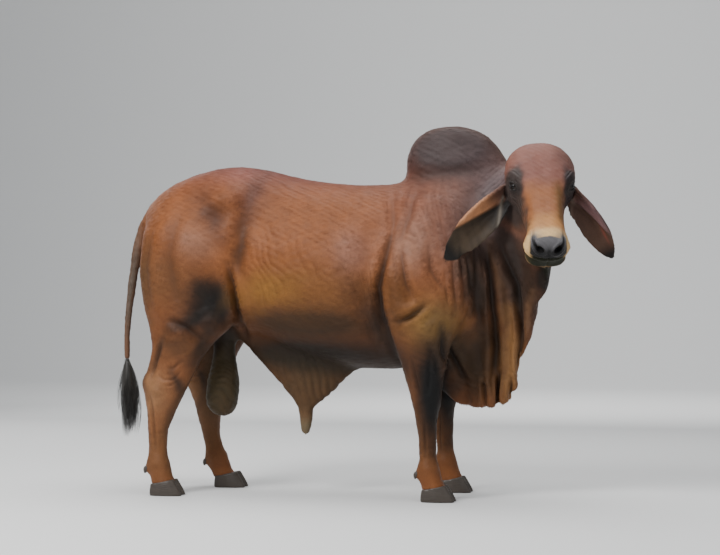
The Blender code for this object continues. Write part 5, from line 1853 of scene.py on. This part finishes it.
class StrandMesh:
    """Tapering locks of hair with three sides, joined in one mesh."""

    def __init__(self) -> None:
        """Start with no locks."""
        self.vertices: list[Rows] = []
        self.faces: list[tuple[int, ...]] = []
        self.spots: list[Rows] = []
        self.tints: list[Rows] = []
        self.count = 0

    def add(self, strand: Strand, tint: Rows, spot: Rows) -> None:
        """Add a lock.

        Args:
            strand: Its path and size.
            tint: Its colour.
            spot: Its root's place on the unrolled skin.
        """
        path, start, n = strand.path, self.count, 3
        rows = len(path)
        heading = unit(np.gradient(path, axis=0))
        side = unit(np.cross(heading, (0.31, 0.12, 0.94)) + 1e-6)
        rise = np.cross(heading, side)
        shares = np.linspace(0, 1, rows)
        half = strand.width * (0.55 + 1.0 * shares - 1.5 * shares**2.2).clip(0.05)
        halves = np.stack([half, half * strand.flatness], 1)
        rings = tube_rings(path[:-1], halves[:-1], side[:-1], rise[:-1], n)
        self.vertices += [rings.reshape(-1, 3), path[-1:]]
        for i in range(rows - 2):
            self.faces += band(start + i * n, start + (i + 1) * n, n)
        last = start + (rows - 2) * n
        tip = last + n
        self.faces += [(last + j, last + (j + 1) % n, tip) for j in range(n)]
        self.faces.append(tuple(start + j for j in range(n))[::-1])
        made = tip + 1 - start
        spread = np.stack([np.linspace(-0.0015, 0.0015, made), np.tile((0.001, -0.001), made)[:made]], 1)
        self.spots.append(spot + spread)
        self.tints.append(np.tile(tint, (made, 1)))
        self.count += made

    def finish(self, name: str) -> Piece:
        """The locks as one object."""
        mesh = listed_mesh(name, np.concatenate(self.vertices) + ORIGIN, self.faces)
        put_colours(mesh, "markings", np.concatenate(self.tints))
        put_unwrap(mesh, np.concatenate(self.spots))
        return add_object(name, mesh)


@dataclass
class Switch:
    """The tuft of long hair at the tail's end."""

    top: Place = (-1.029, -0.029, 0.61)
    tip_height: float = 0.236
    core: float = 0.15
    clumps: int = 110
    hairs: int = 9
    colour: Colour = linear(40, 37, 33)

    def build(self) -> Piece:
        """Hang the locks."""
        draw = np.random.default_rng(5)
        made = StrandMesh()
        for i in range(self.clumps):
            turn = 2.4 * i
            depth = self.core * (i / self.clumps) ** 1.15
            way = np.array((math.cos(turn), 0.75 * math.sin(turn), 0))
            reach = (0.05 - 0.03 * i / self.clumps) * draw.uniform(0.35, 1.05)
            drop = (self.top[2] - depth - self.tip_height) * draw.uniform(0.62, 1.0)
            for _ in range(self.hairs):
                start = np.array(self.top) + (0, 0, -depth) + way * 0.006
                start += draw.normal(0, 0.0022, 3) * (1, 1, 0.5)
                lean = way * reach + draw.normal(0, 0.0035, 3) * (1, 1, 0) + np.array((0.012, 0, 0))
                wave = draw.uniform(-0.003, 0.003)
                shares = np.linspace(0, 1, 10)
                path = start + np.outer(np.sin(shares * math.pi * 0.74), lean)
                path[:, 2] -= drop * draw.uniform(0.9, 1.0) * shares
                path[:, 0] += wave * np.sin(shares * 6)
                path[:, 1] += wave * np.cos(shares * 5) - wave
                tint = np.array(self.colour) * draw.uniform(0.6, 1.5)
                spot = np.array((turn / TURN % 1 * 0.98 + 0.01, 0.02 + 0.94 * depth / self.core))
                made.add(Strand(path, draw.uniform(0.0011, 0.0019)), tint, spot)
        return made.finish("tail_switch_hair")

    def core_solid(self) -> Piece:
        """The tail's end inside the hair, so that no light shows through."""
        work = bmesh.new()
        bmesh.ops.create_uvsphere(work, u_segments=20, v_segments=16, radius=1)
        for vertex in work.verts:
            x, y, z = vertex.co
            fat = 0.022 + 0.012 * (1 - z) * (1 + z)
            place = np.array((x * fat + 0.006 * (1 - z), y * fat * 0.8, z * 0.125)) + np.array(self.top)
            vertex.co = Vector(place + (0.0, 0.0, -0.125) + ORIGIN)
        mesh = smooth_mesh("tail_end", work)
        put_colours(mesh, "markings", self.colour)
        return add_object("tail_end", mesh)

    def dress(self, hair: Piece, core: Piece) -> None:
        """Give the switch its finish and its place in the frame."""
        material = HairFinish().material("tail hair")
        for piece in (hair, core):
            finish_with(piece, material)
            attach(piece, "root")
        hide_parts("tail_switch")


@dataclass
class Eyes:
    """Both eyeballs with their lid rims and lashes."""

    bulge: float = 0.0016
    iris: float = 0.0125
    pupil: tuple[float, float] = (0.0088, 0.0052)
    white: Colour = linear(52, 42, 37)
    brown: Colour = linear(24, 16, 12)
    black: Colour = linear(10, 8, 8)
    lid: Colour = linear(34, 29, 27)

    def ball(self, side: Side) -> Piece:
        """One eyeball.

        Args:
            side: Which eye.

        Returns:
            The eyeball.
        """
        work = bmesh.new()
        bmesh.ops.create_uvsphere(work, u_segments=64, v_segments=40, radius=EYE.radius - 0.0006)
        local = np.array([vertex.co for vertex in work.verts])
        off = np.hypot(local[:, 0], local[:, 1])
        front = local[:, 2] > 0
        rise = self.bulge * ramp(off, self.iris * 1.15, 0.0) * front
        shaped = local * (1 + rise / np.linalg.norm(local, axis=1))[:, None]
        for vertex, place in zip(work.verts, EYE.outside(shaped, side) + ORIGIN):
            vertex.co = Vector(place)
        mesh = smooth_mesh("eye", work)
        hole = np.hypot(local[:, 0] / self.pupil[0], local[:, 1] / self.pupil[1])
        colour = np.tile(self.white, (len(local), 1))
        lay(colour, ramp(off, self.iris + 0.0012, self.iris) * front, self.brown)
        lay(colour, ramp(hole, 1.15, 0.92) * front, self.black)
        put_colours(mesh, "markings", colour)
        return add_object("eyeball_" + side.name.lower(), mesh)

    def rim(self, side: Side) -> Piece:
        """The dark wet edge of the lids, a tube round the slit.

        Args:
            side: Which eye.

        Returns:
            The rim.
        """
        steps, around = 72, 10
        turn = np.linspace(0, TURN, steps, endpoint=False)
        across = np.sign(np.cos(turn)) * np.abs(np.cos(turn)) ** (2 / 1.7)
        flat = np.stack([across * EYE.half_long, np.sin(turn) * EYE.half_high], 1) * 1.02
        height = np.sqrt(np.maximum((EYE.radius + 0.0006) ** 2 - (flat**2).sum(1), 1e-6))
        path = np.column_stack([flat, height])
        heading = unit(np.roll(path, -1, 0) - np.roll(path, 1, 0))
        thick = 0.0017 + 0.0005 * np.sin(turn)
        outward = unit(path)
        rings = tube_rings(path, np.stack([thick, thick], 1), outward, np.cross(heading, outward), around)
        faces = [face for i in range(steps) for face in band(i * around, (i + 1) % steps * around, around)]
        mesh = listed_mesh("lid_rim", EYE.outside(rings.reshape(-1, 3), side) + ORIGIN, faces)
        put_colours(mesh, "markings", self.lid)
        return add_object("lid_rim_" + side.name.lower(), mesh)

    def lashes(self, side: Side) -> Piece:
        """Long lashes on the upper lid and short ones below.

        Args:
            side: Which eye.

        Returns:
            The lashes.
        """
        draw = np.random.default_rng(9)
        made = StrandMesh()
        for upper, number, size in ((1, 46, 0.017), (-1, 26, 0.008)):
            for turn in np.linspace(0.25, math.pi - 0.25, number):
                turn = turn * upper + draw.normal(0, 0.02)
                spot = np.array((math.cos(turn) * EYE.half_long, math.sin(turn) * EYE.half_high, 0)) * 1.05
                spot[2] = math.sqrt(max((EYE.radius + 0.0014) ** 2 - spot[0] ** 2 - spot[1] ** 2, 1e-6))
                length = size * draw.uniform(0.7, 1.1)
                way = np.array((spot[0] * 14, 0.35 * upper, 1.0)) + draw.normal(0, 0.08, 3)
                shares = np.linspace(0, 1, 5)
                path = spot + np.outer(shares * length, unit(way))
                path[:, 1] += upper * (-0.2 * shares + 0.55 * shares**2) * length
                strand = Strand(EYE.outside(path, side), 0.00042, 1.0)
                made.add(strand, np.array(self.black), np.array((0.5, 0.5)))
        return made.finish("lashes_" + side.name.lower())

    def build(self) -> dict[str, Piece]:
        """Build both eyes, as pieces by name."""
        made = [piece for side in Side for piece in (self.ball(side), self.rim(side), self.lashes(side))]
        return {piece.name: piece for piece in made}

    def dress(self, pieces: dict[str, Piece]) -> None:
        """Give the eyes their finish and their place in the frame."""
        wet = EyeFinish().material("eye")
        hair = HairFinish().material("lash")
        for name, piece in pieces.items():
            finish_with(piece, hair if name.startswith("lashes") else wet)
            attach(piece, "root")
            if name.startswith("eyeball"):
                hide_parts("eye_" + name.split("_")[1])


@dataclass
class Claws:
    """The eight claws and the dewclaws over them."""

    voxel: float = 0.003
    ring_pitch: float = 0.0085
    ring_depth: float = 0.0005

    def claw(self, node: str) -> Piece:
        """One claw, with rings of growth.

        Args:
            node: The solid that it stands in for.

        Returns:
            The claw.
        """
        made = add_object("horn_" + node, smooth_mesh(node, node_copy([node], -0.0002)))
        surface = SurfaceMesh(remeshed(made, self.voxel).data)
        sole = surface.places()[:, 2] < 0.003
        surface.soften(np.where(sole, 0.0, 0.9), 6)
        places, ways = surface.places(), surface.ways()
        x, _, z = places.T
        height = z + 0.16 * (x - x.mean()) + 0.0015 * cloudiness(places, 0.05, 6)
        lift = self.ring_depth * np.sin(height / self.ring_pitch * TURN)
        lift *= ramp(z, 0.004, 0.015) * ramp(np.abs(ways[:, 2]), 0.9, 0.5)
        places += lift[:, None] * ways
        places[:, 2] = np.maximum(places[:, 2], -ORIGIN[2])
        surface.put(places)
        made.data.shade_smooth()
        return made

    def dewclaws(self) -> Piece:
        """The small horns behind each foot."""
        work = bmesh.new()
        feet = ((-1, 0.446, 0.0), (1, 0.446, 0.015), (-1, -0.796, 0.0), (1, -0.796, 0.185))
        for side, foot, step in feet:
            back = foot + step * (0.88 - 0.122) / 0.88 - 0.074
            for way in (-1, 1):
                made = bmesh.ops.create_uvsphere(work, u_segments=20, v_segments=14, radius=1)
                for vertex in made["verts"]:
                    x, y, z = vertex.co
                    narrow = 1 - 0.45 * (1 - z) / 2
                    place = np.array((x * 0.015 * narrow - 0.004 * (1 - z), y * 0.0125 * narrow, z * 0.018))
                    place += (back, side * 0.2 + way * 0.022, 0.117)
                    vertex.co = Vector(place + ORIGIN)
        return add_object("dewclaws", smooth_mesh("dewclaws", work))

    def build(self) -> dict[str, Piece]:
        """Build every claw, by the node that it stands in for, and the dewclaws."""
        made = {name: self.claw(name) for name in sorted(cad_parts) if name.startswith("claw")}
        return made | {"dewclaws": self.dewclaws()}

    def dress(self, pieces: dict[str, Piece], effects: Effects) -> None:
        """Give the claws their finish and their place in the frame."""
        material = HornFinish().material("horn", effects)
        for name, piece in pieces.items():
            finish_with(piece, material)
            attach(piece, "root")
            if name != "dewclaws":
                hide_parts(name)


@dataclass
class Studio:
    """Floor, light and camera."""

    camera_place: Place = (1.83394, -8.30008, 0.96)
    camera_turn: float = math.radians(12)
    focal_pixels: float = 1870.0
    horizon_row: float = 283.0

    def build(self) -> None:
        """Set the stage."""
        self.floor()
        self.light("key", (-2.2, -4.2, 4.8), 2.4, 390)
        self.light("top", (0.2, 0.4, 5.4), 4.0, 230)
        self.light("side", (4.6, -2.6, 2.4), 3.0, 35)
        self.light("back", (-3.8, 3.6, 3.2), 3.0, 80)
        self.light("wall", (0.0, 5.0, 4.5), 5.0, 420, (0.0, 14.0, 3.0))
        world = bpy.data.worlds.new("studio")
        world.use_nodes = True
        sky = {"Color": (0.86, 0.9, 0.96, 1), "Strength": 0.4}
        ShaderTree(world.node_tree).put(world.node_tree.nodes["Background"], sky)
        bpy.context.scene.world = world
        data = bpy.data.cameras.new("camera")
        data.sensor_width = 36
        data.lens = self.focal_pixels / IMAGE_WIDTH * data.sensor_width
        data.shift_y = (self.horizon_row - IMAGE_HEIGHT / 2) / IMAGE_WIDTH
        way = Vector((-math.sin(self.camera_turn), math.cos(self.camera_turn), 0))
        bpy.context.scene.camera = self.aimed(data, Vector(np.array(self.camera_place) + ORIGIN), way)

    def aimed(self, data: bpy.types.ID, place: Vector, way: Vector) -> Piece:
        """Hang a lamp or camera.

        Args:
            data: The lamp or camera.
            place: Where it hangs.
            way: Where it looks.

        Returns:
            Its object.
        """
        made = add_object(data.name, data)
        made.location = place
        made.rotation_mode = "QUATERNION"
        made.rotation_quaternion = way.to_track_quat("-Z", "Y")
        return made

    def floor(self) -> None:
        """A pale floor that turns up into a pale wall far behind."""
        turn = np.linspace(0, math.pi / 2, 13)
        bend = [(9.0 + 5.0 * math.sin(t), 5.0 - 5.0 * math.cos(t)) for t in turn]
        rows = [(-30.0, 0.0), *bend, (14.0, 30.0)]
        ground = np.array([(x, y, z) for y, z in rows for x in (-40.0, 40.0)])
        faces = [(2 * i, 2 * i + 1, 2 * i + 3, 2 * i + 2) for i in range(len(rows) - 1)]
        floor = add_object("floor", listed_mesh("floor", ground, faces))
        material, tree, shader = new_material("floor")
        tree.put(shader, {"Base Color": (0.72, 0.72, 0.71, 1), "Roughness": 0.9})
        finish_with(floor, material)

    def light(self, name: str, place: Place, size: float, power: float, target: Place = CHEST) -> None:
        """A soft square light.

        Args:
            name: Its name.
            place: Where it hangs.
            size: The length of its side.
            power: Its power in watts.
            target: Where it points, at the animal's chest if not told.
        """
        data = bpy.data.lights.new(name, "AREA")
        data.size = size
        data.energy = power
        self.aimed(data, Vector(place), Vector(target) - Vector(place))


def main() -> None:
    """Build the animal, the coat and the studio in order."""
    logging.basicConfig(level=logging.INFO)
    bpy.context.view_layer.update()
    effects = Effects()
    studio = Studio()
    studio.build()
    skin_maker = Skin()
    skin = skin_maker.build()
    skin_maker.dress(skin, effects)
    log.info("skin: %d faces", len(skin.data.polygons))
    coat_maker = Coat()
    coats = coat_maker.build(skin, skin_maker)
    coat_maker.dress(coats, effects)
    switch_maker = Switch()
    hair, core = switch_maker.build(), switch_maker.core_solid()
    switch_maker.dress(hair, core)
    log.info("switch: %d faces", len(hair.data.polygons))
    eye_maker = Eyes()
    eyes = eye_maker.build()
    eye_maker.dress(eyes)
    log.info("eyes: %d pieces", len(eyes))
    claw_maker = Claws()
    claws = claw_maker.build()
    claw_maker.dress(claws, effects)
    log.info("claws: %d pieces", len(claws))


if __name__ == "__main__":
    main()
